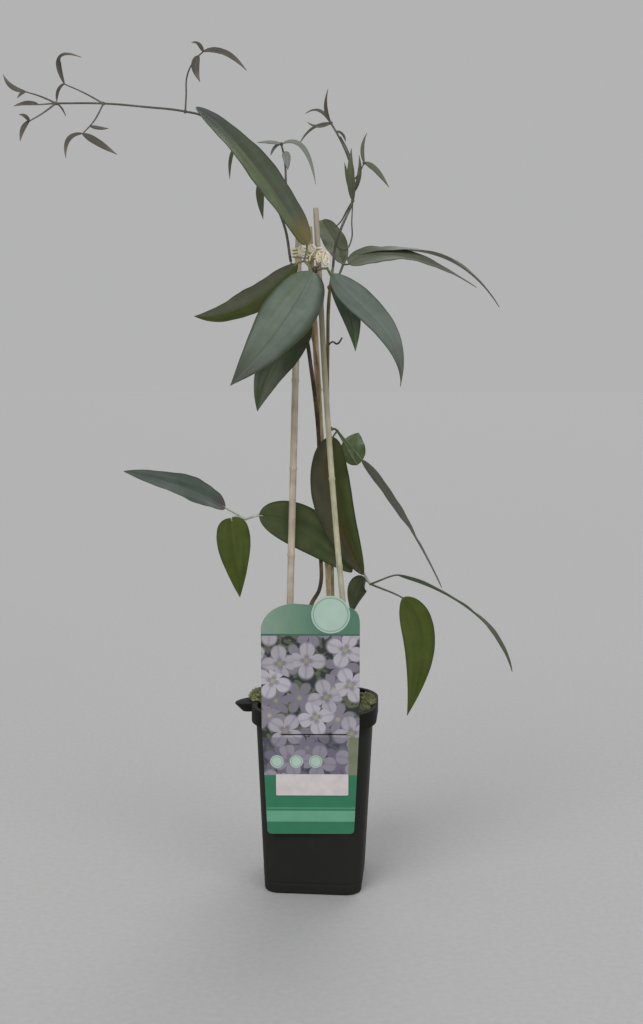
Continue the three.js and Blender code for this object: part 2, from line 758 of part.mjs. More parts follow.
function cardOutline() {
  const bottom = LABEL.bottomWidth / 2;
  const top = LABEL.topWidth / 2;
  const { height, taperHeight, corner, crown, leftShoulder, rightShoulder } = LABEL;
  const shoulder = height - crown;
  const card = new THREE.Shape();
  card.moveTo(-bottom + corner, 0);
  card.lineTo(bottom - corner, 0);
  card.quadraticCurveTo(bottom, 0, bottom, corner);
  card.lineTo(top, taperHeight);
  card.lineTo(top, height - rightShoulder.drop);
  card.quadraticCurveTo(top, shoulder, top - rightShoulder.run, shoulder);
  card.lineTo(-top + leftShoulder.run, height);
  card.quadraticCurveTo(-top + crown, shoulder, -top, height - leftShoulder.drop);
  card.lineTo(-top, taperHeight);
  card.lineTo(-bottom, corner);
  card.quadraticCurveTo(-bottom, 0, -bottom + corner, 0);
  return card;
}

// The strap from the card's back over the rim and a little way down inside it.
function hook() {
  const over = POT.height + GAP - LABEL.bottom;
  const outer = -over * Math.tan(LABEL.tilt) - LABEL.hookOverlap;
  const inner = LABEL.reachAtBottom - LABEL.hookReach;
  const top = over + LABEL.hookThickness;
  const far = inner + LABEL.hookThickness;
  const end = over - LABEL.hookDrop;
  const strap = new THREE.Shape([
    [outer, over], [inner, over], [inner, end], [far, end], [far, top], [outer, top],
  ].map(([y, z]) => new THREE.Vector2(y, z)));
  const depth = LABEL.hookWidth;
  const geometry = new THREE.ExtrudeGeometry(strap, { depth, bevelEnabled: false });
  // Drawn in Y and Z, so the extrusion is turned from Z to X.
  const turn = new THREE.Matrix4().makeBasis(v([0, 1, 0]), v([0, 0, 1]), v([1, 0, 0]));
  return geometry.translate(0, 0, -depth / 2).applyMatrix4(turn);
}

// The card with its round tab and slit, and its hook.
function plantLabel() {
  const flat = { depth: LABEL.thickness, bevelEnabled: false, curveSegments: 5 };
  const disc = new THREE.CylinderGeometry(MEDALLION.radius, MEDALLION.radius, LABEL.thickness, 28);
  disc.rotateX(Math.PI / 2).translate(MEDALLION.x, MEDALLION.y, LABEL.thickness / 2);
  const slit = new THREE.BoxGeometry(LABEL.slitWidth, LABEL.slitHeight, 6);
  const lipBottom = (POT.height - RIM.depth - LABEL.bottom) / Math.cos(LABEL.tilt);
  slit.translate(LABEL.slitX, lipBottom - LABEL.slitBelowRim, 0);
  const card = cut(fuse([new THREE.ExtrudeGeometry(cardOutline(), flat), disc]), [slit]);
  return setOnPot(fuse([stand(card), hook()]));
}

function labelSticker() {
  const label = new THREE.BoxGeometry(STICKER.width, STICKER.height, STICKER.thickness);
  label.translate(STICKER.x, STICKER.y, LABEL.thickness + GAP + STICKER.thickness / 2);
  return setOnPot(stand(label));
}

// Assembly ----------------------------------------------------------------------------------

const plant = new THREE.Group();
const holes = [
  ...Object.values(canes).map(caneHole),
  stemHole(mainRoute, STEM.main),
  stemHole(secondRoute, STEM.second),
];
plant.add(piece('pot', pot(), blackPlastic));
plant.add(piece('soil', soil(holes), pottingSoil));
for (const [name, place] of Object.entries(canes)) {
  plant.add(piece(`cane_${name}`, cane(place), bamboo));
}
plant.add(piece('cane_tie', tie(), twine));
plant.add(piece('stem_main', stemMain(), wood));
plant.add(piece('stem_second', stemSecond(), wood));
for (const [name, leaf] of Object.entries(leaves)) {
  plant.add(piece(name, compoundLeaf(leaf), name.startsWith('leaf_upper') ? leather : oldLeaf));
}
for (const [name, growth] of Object.entries(shoots)) {
  plant.add(piece(name, shoot(growth), youngGrowth));
}
plant.add(piece('plant_label', plantLabel(), printedCard));
plant.add(piece('label_sticker', labelSticker(), paper));

export default plant;
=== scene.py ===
"""A young evergreen clematis on three tied canes, in a square nursery pot with a hanging label.

The plant grows along +Z and its front looks along -Y. Sizes in this file are millimetres and
become metres where a mesh is made.
"""

import logging
import math
import random
from dataclasses import dataclass
from enum import Enum
from functools import cache
from typing import Callable, Sequence

import bmesh
import bpy
from mathutils import Matrix, Quaternion, Vector, noise


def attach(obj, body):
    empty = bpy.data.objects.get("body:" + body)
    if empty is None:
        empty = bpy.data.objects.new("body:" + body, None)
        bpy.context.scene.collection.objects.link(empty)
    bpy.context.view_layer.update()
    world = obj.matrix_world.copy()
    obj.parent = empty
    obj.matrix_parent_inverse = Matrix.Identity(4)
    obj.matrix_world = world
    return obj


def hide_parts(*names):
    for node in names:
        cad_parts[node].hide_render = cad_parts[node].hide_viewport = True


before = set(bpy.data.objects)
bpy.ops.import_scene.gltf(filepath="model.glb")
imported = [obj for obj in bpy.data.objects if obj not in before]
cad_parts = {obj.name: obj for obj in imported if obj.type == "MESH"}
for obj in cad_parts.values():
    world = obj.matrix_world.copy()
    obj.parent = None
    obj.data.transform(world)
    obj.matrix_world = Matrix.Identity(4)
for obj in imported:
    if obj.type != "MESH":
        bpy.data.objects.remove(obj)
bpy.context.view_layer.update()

MM = 0.001
Point = Sequence[float]
Shape = bpy.types.Object
Socket = bpy.types.NodeSocket
log = logging.getLogger("clematis")


class Slot(Enum):
    """The record's material slots."""

    POT = "pot_plastic"
    SOIL = "soil"
    BAMBOO = "bamboo"
    TWINE = "twine"
    WOOD = "woody_stem"
    LEAF = "leaf_glaucous"
    OLD_LEAF = "leaf_olive"
    YOUNG = "young_shoot"
    CARD = "label_card"
    PAPER = "sticker_paper"


# Modelling tools -------------------------------------------------------------------------------


def metres(point: Point) -> Vector:
    """A point given in millimetres, as a vector in metres."""
    return Vector(point) * MM


def lerp(a: float, b: float, share: float) -> float:
    """The value that lies a share of the way from a to b."""
    return a + (b - a) * share


def smooth(low: float, high: float, value: float) -> float:
    """A soft step from 0 at low to 1 at high."""
    t = min(1.0, max(0.0, (value - low) / (high - low)))
    return t * t * (3 - 2 * t)


def focus(*shapes: Shape) -> None:
    """Selects these shapes alone and makes the first one active."""
    bpy.ops.object.select_all(action="DESELECT")
    for shape in shapes:
        shape.select_set(True)
    if shapes:
        bpy.context.view_layer.objects.active = shapes[0]


def primitive(operator: Callable[..., object], **settings: object) -> Shape:
    """Adds a primitive, such as a cube, with its place and size in its mesh.

    Args:
        operator: The operator that adds it.
        settings: The operator's properties.

    Returns:
        The mesh object.
    """
    focus()
    operator(**settings)
    bpy.ops.object.transform_apply()
    return bpy.context.object


def apply_modifier(shape: Shape, kind: str, **settings: object) -> None:
    """Adds a modifier to a shape and applies it.

    Args:
        shape: The mesh object.
        kind: The modifier's type name.
        settings: The modifier's properties.
    """
    focus(shape)
    modifier = shape.modifiers.new(kind.title(), kind)
    for key, value in settings.items():
        setattr(modifier, key, value)
    bpy.ops.object.modifier_apply(modifier=modifier.name)


def combine(shape: Shape, tool: Shape, operation: str) -> None:
    """Joins, cuts or intersects a shape with a tool, which is used up.

    Args:
        shape: The mesh object that is kept.
        tool: The mesh object that works on it.
        operation: UNION, DIFFERENCE or INTERSECT.
    """
    apply_modifier(shape, "BOOLEAN", operation=operation, object=tool, solver="EXACT")
    bpy.data.objects.remove(tool)


def clean(shape: Shape, angle: float = 40.0) -> None:
    """Merges doubles, turns faces outwards and sets soft shading.

    Args:
        shape: The mesh object.
        angle: Edges sharper than this many degrees stay crisp.
    """
    focus(shape)
    bpy.ops.object.mode_set(mode="EDIT")
    bpy.ops.mesh.select_all(action="SELECT")
    bpy.ops.mesh.remove_doubles(threshold=0.002 * MM)
    bpy.ops.mesh.normals_make_consistent(inside=False)
    bpy.ops.object.mode_set(mode="OBJECT")
    bpy.ops.object.shade_smooth_by_angle(angle=math.radians(angle))


def joined(name: str, shapes: Sequence[Shape]) -> Shape:
    """Makes several shapes one object.

    Args:
        name: The name of the whole.
        shapes: The mesh objects, each with its materials.

    Returns:
        The joined object.
    """
    focus(*shapes)
    if len(shapes) > 1:
        bpy.ops.object.join()
    shapes[0].name = shapes[0].data.name = name
    return shapes[0]


def loft(rings: Sequence[Sequence[Point]]) -> Shape:
    """A closed skin through rings of equally many points: a flat face, extruded ring by ring.

    Args:
        rings: The rings in order, each a list of points in millimetres.

    Returns:
        The mesh object.
    """
    shape = primitive(bpy.ops.mesh.primitive_circle_add, vertices=len(rings[0]), fill_type="NGON")
    for vertex, point in zip(shape.data.vertices, rings[0]):
        vertex.co = metres(point)
    bpy.ops.object.mode_set(mode="EDIT")
    bpy.ops.mesh.select_all(action="SELECT")
    mesh = bmesh.from_edit_mesh(shape.data)
    mesh.verts.ensure_lookup_table()
    order = {tuple(v.co): i for i, v in enumerate(mesh.verts)}
    for ring in rings[1:]:
        bpy.ops.mesh.extrude_region_move()
        mesh = bmesh.from_edit_mesh(shape.data)
        raised = [(order[tuple(v.co)], v) for v in mesh.verts if v.select]
        for index, vertex in raised:
            vertex.co = metres(ring[index])
        order = {tuple(v.co): i for i, v in raised}
    bpy.ops.mesh.select_all(action="SELECT")
    bpy.ops.mesh.normals_make_consistent(inside=False)
    bpy.ops.object.mode_set(mode="OBJECT")
    return shape


def tube(
    points: Sequence[Point], radii: float | Sequence[float], rings: int = 6, sides: int = 3
) -> Shape:
    """A round rod along a smooth line.

    Args:
        points: The points it passes, in millimetres.
        radii: One radius, or one for each point.
        rings: Steps between two points.
        sides: Steps in a quarter of the section.

    Returns:
        The mesh object.
    """
    focus()
    bpy.ops.curve.primitive_bezier_curve_add()
    line = bpy.context.object
    spline = line.data.splines[0]
    spline.bezier_points.add(len(points) - 2)
    if isinstance(radii, (int, float)):
        radii = [radii] * len(points)
    for knot, point, radius in zip(spline.bezier_points, points, radii):
        knot.co = metres(point)
        knot.handle_left_type = knot.handle_right_type = "AUTO"
        knot.radius = radius
    spline.resolution_u = line.data.resolution_u = rings
    line.data.bevel_depth = MM
    line.data.bevel_resolution = sides
    line.data.use_fill_caps = True
    bpy.ops.object.convert(target="MESH")
    shape = bpy.context.object
    clean(shape, 60)
    return shape


def knob(centre: Point, half: Point, lumps: float = 0.12) -> Shape:
    """A small lumpy swelling.

    Args:
        centre: Its middle.
        half: Its half-sizes along the axes.
        lumps: How uneven it is, as a share of its size.

    Returns:
        The mesh object.
    """
    shape = primitive(bpy.ops.mesh.primitive_ico_sphere_add, subdivisions=3, radius=1)
    for vertex in shape.data.vertices:
        way = vertex.co.normalized()
        size = 1 + lumps * noise.noise(way * 1.7 + Vector(centre))
        vertex.co = metres([c + h * w * size for c, h, w in zip(centre, half, way)])
    bpy.ops.object.shade_smooth()
    return shape


def scattered(template: Shape, places: Sequence[Matrix]) -> Shape:
    """Many copies of a small shape in one mesh.

    Args:
        template: The shape, made round the origin, which is used up.
        places: Where each copy stands, in metres.

    Returns:
        The mesh object.
    """
    mesh = bmesh.new()
    for place in places:
        before = len(mesh.verts)
        mesh.from_mesh(template.data)
        mesh.verts.ensure_lookup_table()
        bmesh.ops.transform(mesh, matrix=place, verts=mesh.verts[before:])
    mesh.to_mesh(template.data)
    mesh.free()
    return template


def rounded_ring(
    size: Point, radius: float, z: float, steps: int = 12, side: int = 1, middle: Point = (0, 0)
) -> list[tuple[float, float, float]]:
    """The plan of a rectangle with round corners at one height, counter-clockwise.

    Args:
        size: Across the flats, along X and along Y.
        radius: Of the corners.
        z: The height.
        steps: Steps in each corner.
        side: Steps along each flat.
        middle: The rectangle's middle.

    Returns:
        The ring's points.
    """
    ring = []
    for corner, signs in enumerate(((1, 1), (-1, 1), (-1, -1), (1, -1))):
        x, y = (m + s * (width / 2 - radius) for m, s, width in zip(middle, signs, size))
        for step in range(steps + 1):
            angle = (corner + step / steps) * math.pi / 2
            ring.append((x + radius * math.cos(angle), y + radius * math.sin(angle), z))
        start = ring[-1]
        turn = (corner + 1) * math.pi / 2
        for step in range(1, side):
            along = (size[corner % 2] - 2 * radius) * step / side
            ring.append((start[0] - along * math.sin(turn), start[1] + along * math.cos(turn), z))
    return ring


def circle(steps: int) -> list[tuple[float, float]]:
    """Cosine and sine at equal steps round a circle."""
    angles = [i / steps * 2 * math.pi for i in range(steps)]
    return [(math.cos(angle), math.sin(angle)) for angle in angles]


def bent(start: Point, pull: Point, end: Point, steps: int) -> list[tuple[float, ...]]:
    """Points on a curve that leaves start towards pull and arrives at end, the end left out."""
    line = []
    for t in [i / steps for i in range(steps)]:
        near, middle, far = (1 - t) ** 2, 2 * t * (1 - t), t * t
        line.append(tuple(a * near + b * middle + c * far for a, b, c in zip(start, pull, end)))
    return line


def place(shape: Shape, name: str, slot: Slot, node: str | None = None) -> None:
    """Names a finished piece, ties it to the plant's body, and reports it.

    Args:
        shape: The finished mesh object.
        name: The piece's name.
        slot: The slot that it takes its finish from. Not used.
        node: The solid that it stands for, if there is one.
    """
    shape.name = shape.data.name = name
    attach(shape, "root")
    if node:
        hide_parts(node)
    shape.data.calc_loop_triangles()
    log.info("%s: %d triangles", name, len(shape.data.loop_triangles))


# Finishes ---------------------------------------------------------------------------------------


def linear(colour: str) -> tuple[float, float, float, float]:
    """A hex sRGB colour as linear RGBA."""
    channels = [int(colour[i : i + 2], 16) / 255 for i in (1, 3, 5)]
    return (*[c / 12.92 if c <= 0.04045 else ((c + 0.055) / 1.055) ** 2.4 for c in channels], 1.0)


def per(size: float) -> float:
    """The scale, in repeats a metre, of a pattern whose real size is given in millimetres."""
    return 1 / (size * MM)


class Graph:
    """A material's nodes while it is being made."""

    def __init__(self, name: str) -> None:
        """Starts a material with its shader and the object's coordinates."""
        self.material = bpy.data.materials.new(name)
        self.material.use_nodes = True
        self.tree = self.material.node_tree
        self.shader = self.tree.nodes["Principled BSDF"]
        self.place = self.add("TexCoord", out="Object")

    def add(
        self,
        kind: str,
        *values: object,
        stops: Sequence[tuple[float, str]] = (),
        out: int | str = 0,
        **named: object,
    ) -> Socket:
        """Adds a node.

        Args:
            kind: The node's type name, without ShaderNode before it.
            values: Values or links for the sockets that it uses, in their order.
            stops: Positions and hex colours of a colour ramp.
            out: The output that is wanted, by name or by its number among those in use.
            named: The node's own properties, and values or links for sockets by name, with a
                capital and _ for a space. A texture without a Vector follows the object.

        Returns:
            The socket of the wanted output.
        """
        node = self.tree.nodes.new("ShaderNode" + kind)
        for key, value in named.items():
            if key[0].islower():
                setattr(node, key, value)
        filled = list(zip([socket for socket in node.inputs if socket.enabled], values))
        if kind in ("TexNoise", "TexVoronoi"):
            named.setdefault("Vector", self.place)
        for key, value in named.items():
            if key[0].isupper():
                filled.append((node.inputs[key.replace("_", " ")], value))
        for socket, value in filled:
            if isinstance(value, Socket):
                self.tree.links.new(value, socket)
            else:
                socket.default_value = value
        for index, (position, colour) in enumerate(stops):
            elements = node.color_ramp.elements
            stop = elements[index] if index < 2 else elements.new(position)
            stop.position = position
            stop.color = linear(colour)
        if isinstance(out, str):
            return node.outputs[out]
        return [socket for socket in node.outputs if socket.enabled][out]

    def painted(self, ground: Socket, layers: Sequence[tuple], ramp: str = "LINEAR") -> Socket:
        """Lays paints over a ground, each where a value runs through its span.

        Args:
            ground: The socket with the colour beneath.
            layers: For each paint, the value that places it, where it starts and is full, its
                cover, and its colour as hex or a socket. One without a colour is left out.
            ramp: How a paint sets in: LINEAR or SMOOTHSTEP.

        Returns:
            The socket with the painted colour.
        """
        for value, start, full, cover, paint in layers:
            if paint:
                share = self.add(
                    "MapRange", Value=value, From_Min=start, From_Max=full, To_Max=cover,
                    interpolation_type=ramp,
                )
                paint = linear(paint) if isinstance(paint, str) else paint
                ground = self.add("Mix", share, ground, paint, data_type="RGBA")
        return ground

    def finish(
        self, colour: Socket, gloss: tuple, height: Socket, relief: float, **fixed: float
    ) -> None:
        """Links the shader.

        Args:
            colour: The socket that gives the colour.
            gloss: The socket that the roughness follows, then its lowest and highest value.
            height: The socket that gives the relief.
            relief: The relief's depth in millimetres.
            fixed: Shader sockets that are the same all over, by name with _ for a space.
        """
        value, smoothest, roughest = gloss
        rough = self.add("MapRange", Value=value, To_Min=smoothest, To_Max=roughest)
        bump = self.add("Bump", Strength=1.0, Distance=relief * MM, Height=height)
        for key, socket in (("Base Color", colour), ("Roughness", rough), ("Normal", bump)):
            self.tree.links.new(socket, self.shader.inputs[key])
        for key, value in fixed.items():
            self.shader.inputs[key.replace("_", " ")].default_value = value


class Finish:
    """A surface finish. Its material is made once, when the first shape is dressed with it."""

    name: str

    def paint(self, graph: Graph) -> None:
        """Makes the nodes of the material."""
        raise NotImplementedError

    @cache
    def material(self) -> bpy.types.Material:
        """The finish's material."""
        graph = Graph(self.name)
        self.paint(graph)
        return graph.material

    def dress(self, *shapes: Shape) -> None:
        """Gives shapes the material."""
        for shape in shapes:
            shape.data.materials.append(self.material())


@dataclass(frozen=True)
class MouldedPlastic(Finish):
    """Black polypropylene, injection moulded: a matt, faintly grained skin, dusty below the rim."""

    name: str = "moulded_black_polypropylene"
    dark: str = "#141412"
    light: str = "#1c1c1a"
    scuff: str = "#34322f"
    dust: str = "#2d2e2b"
    dust_span: tuple[float, float] = (172, 160)  # the heights where the dust starts and is full
    cloud: float = 35.7
    rub: tuple[float, float] = (8.33, 33.3)  # a scuff's width and height
    grain: float = 1.3  # the real texture is about 0.3 mm, drawn coarser so that it shows

    def paint(self, graph: Graph) -> None:
        """Makes soft clouds of black, dust on the body, upright scuffs and a fine grain."""
        cloud = graph.add("TexNoise", Scale=per(self.cloud), Detail=5.0)
        colour = graph.add("ValToRGB", Fac=cloud, stops=[(0.32, self.dark), (0.7, self.light)])
        height = graph.add("SeparateXYZ", graph.place, out=2)
        start, full = (z * MM for z in self.dust_span)
        wide, tall = (per(size) for size in self.rub)
        drag = graph.add("Mapping", Vector=graph.place, Scale=(wide, wide, tall))
        rub = graph.add("TexNoise", Vector=drag, Scale=1.0, Detail=5.0)
        worn = graph.painted(
            colour, ((height, start, full, 0.6, self.dust), (rub, 0.56, 0.85, 0.3, self.scuff))
        )
        grain = graph.add("TexNoise", Scale=per(self.grain), Detail=3.0)
        graph.finish(worn, (cloud, 0.5, 0.7), grain, 0.12, IOR=1.49, Specular_IOR_Level=0.12)


@dataclass(frozen=True)
class Crumbs(Finish):
    """Peat and bark compost or dry moss: rough crumbs, nearly without gloss."""

    name: str
    colours: tuple[str, str, str]
    crumb: float  # size of a crumb in millimetres
    cloud: float = 6.25

    def paint(self, graph: Graph) -> None:
        """Makes crumbs that each have a tone of their own, in soft clouds."""
        cell = graph.add("TexVoronoi", Scale=per(self.crumb), out="Color")
        cloud = graph.add("TexNoise", Scale=per(self.cloud), Detail=6.0, Roughness=0.65)
        speck = graph.add("SeparateColor", cell)
        blend = graph.add("Mix", 0.4, cloud, speck, data_type="FLOAT")
        stops = list(zip((0.25, 0.5, 0.8), self.colours))
        colour = graph.add("ValToRGB", Fac=blend, stops=stops)
        graph.finish(colour, (cloud, 0.85, 1.0), blend, 0.8, Specular_IOR_Level=0.2)


@dataclass(frozen=True)
class Fibrous(Finish):
    """Cane, bark or twine: fibres along the piece, satin where whole and dull where worn."""

    name: str
    colours: tuple[str, str, str]
    fibre: tuple[float, float]  # a fibre's width and length in millimetres
    gloss: tuple[float, float]
    relief: float
    foot: str = ""  # colour of the damp, dirty foot, where there is one
    head: str = ""  # colour of the weathered upper end, where there is one
    blotch: float = 16.67
    foot_span: tuple[float, float] = (0.27, 0.17)  # the heights in metres where each sets in
    head_span: tuple[float, float] = (0.44, 0.52)

    def paint(self, graph: Graph) -> None:
        """Makes fibres and blotches, and the colours of the ends."""
        wide, long = (per(size) for size in self.fibre)
        drawn = graph.add("Mapping", Vector=graph.place, Scale=(wide, wide, long))
        fibre = graph.add("TexNoise", Vector=drawn, Scale=1.0, Detail=4.0, Roughness=0.6)
        blotch = graph.add("TexNoise", Scale=per(self.blotch), Detail=3.0)
        blend = graph.add("Mix", 0.45, fibre, blotch, data_type="FLOAT")
        stops = list(zip((0.36, 0.5, 0.64), self.colours))
        colour = graph.add("ValToRGB", Fac=blend, stops=stops)
        height = graph.add("SeparateXYZ", graph.place, out=2)
        ends = ((*self.foot_span, 0.7, self.foot), (*self.head_span, 0.7, self.head))
        colour = graph.painted(colour, [(height, *end) for end in ends])
        graph.finish(colour, (fibre, *self.gloss), fibre, self.relief, Specular_IOR_Level=0.4)


@dataclass(frozen=True)
class LeafSkin(Finish):
    """A leathery leaf: a faint midrib, soft streaks along it, a dark margin and a net of veins."""

    name: str
    colours: tuple[str, str]  # the darkest and lightest green
    # On some leaves these colours are painted light: on the leaf of two greens a lit half, on the
    # dark-edged leaf a half lit through from behind.
    other: tuple[str, str] | None = None  # those of the half against the side, where it differs
    foot: str = ""  # the colour beside the stalk, where it differs
    tip: str = ""  # the colour of the tip, where it differs
    stain: str = ""  # the colour that spreads from the midrib, where there is one
    vein: str = "#8c9a80"
    vein_share: float = 0.18  # how clearly the midrib shows
    gloss: tuple[float, float] = (0.42, 0.58)
    shine: float = 0.15
    coat: float = 0.0  # the wax on the skin
    margin: str = "#2c3822"
    deep_margin: float = 0.0  # how far the margin's colour reaches in on the half against the side
    cloud: float = 14.29
    pore: float = 1.11
    under: Finish | None = None  # the underside, where it isn't the same

    def paint(self, graph: Graph) -> None:
        """Makes streaked greens, the colours of the blade's parts, and pores and veins."""
        chart = graph.add("UVMap", uv_map="UVMap")
        across, along, _ = graph.add("SeparateXYZ", chart).node.outputs
        offset = graph.add("Math", across, 0.5, operation="SUBTRACT")
        side = graph.add("Math", offset, operation="ABSOLUTE")
        cloud = graph.add("TexNoise", Scale=per(self.cloud), Detail=5.0, Roughness=0.6)
        # Streaks run along the blade; the place in the plant makes each leaf's own.
        drawn = graph.add("Mapping", Vector=chart, Scale=(4.2, 1.6, 1.0))
        apart = graph.add("VectorMath", graph.place, 9.0, operation="SCALE")
        moved = graph.add("VectorMath", drawn, apart, operation="ADD")
        streak = graph.add("TexNoise", Vector=moved, Scale=1.0, Detail=2.0)
        blend = graph.add("Mix", 0.4, streak, cloud, data_type="FLOAT")
        green, other = (
            graph.add("ValToRGB", Fac=blend, stops=[(0.32, dark), (0.68, light)])
            for dark, light in (self.colours, self.other or self.colours)
        )
        green = graph.painted(
            green,
            (
                # The other half's colours, painted light on some leaves.
                (across, 0.56, 0.44, 1.0, self.other and other),
                (along, 0.55, 1.0, 1.0, self.tip),
                (along, 0.2, 0.04, 1.0, self.foot),
                (side, 0.2, 0.02, 0.7, self.stain),
                (across, self.deep_margin, 0.02, 0.8, self.deep_margin and self.margin),
                (side, 0.42, 0.5, 0.75, self.margin),
                (side, 0.032, 0.008, self.vein_share, self.vein),
            ),
            "SMOOTHSTEP",
        )
        pores = graph.add("TexNoise", Scale=per(self.pore), Detail=2.0)
        veins = self.veins(graph, along, side, chart)
        faint = graph.add("Math", pores, 0.25, operation="MULTIPLY")
        sunk = graph.add("Math", veins, -1.4, faint, operation="MULTIPLY_ADD")
        graph.finish(
            green, (cloud, *self.gloss), sunk, 0.03,
            Specular_IOR_Level=self.shine, Coat_Weight=self.coat, Coat_Roughness=0.35,
        )

    def veins(self, graph: Graph, along: Socket, side: Socket, chart: Socket) -> Socket:
        """Where the blade's veins run.

        Args:
            graph: The material's nodes.
            along: The share of the way from the base to the tip.
            side: The distance from the midrib, as a share of the width.
            chart: The place on the blade.

        Returns:
            The socket that is highest on the veins.
        """
        # The midrib, the two strong veins beside it, and weaker ones that leave it 7 mm apart.
        aside = graph.add("Math", side, 0.245, operation="SUBTRACT")
        flank = graph.add("Math", aside, operation="ABSOLUTE")
        lean = graph.add("Math", side, -4.5, operation="MULTIPLY")
        rank = graph.add("Math", along, 21.0, lean, operation="MULTIPLY_ADD")
        near = graph.add("Math", rank, 1.0, operation="PINGPONG")
        # The finest net has meshes of about 2 mm.
        drawn = graph.add("Mapping", Vector=chart, Scale=(16.0, 60.0, 1.0))
        net = graph.add("TexVoronoi", Vector=drawn, Scale=1.0, feature="DISTANCE_TO_EDGE")
        veins: Socket | float = 0.0
        for away, core, edge, height in (
            (side, 0.008, 0.032, 1.0), (flank, 0.004, 0.02, 0.4),
            (near, 0.02, 0.2, 0.18), (net, 0.0, 0.12, 0.08),
        ):
            ridge = graph.add(
                "MapRange", Value=away, From_Min=core, From_Max=edge, To_Min=height, To_Max=0.0
            )
            veins = graph.add("Math", veins, ridge, operation="MAXIMUM")
        return veins


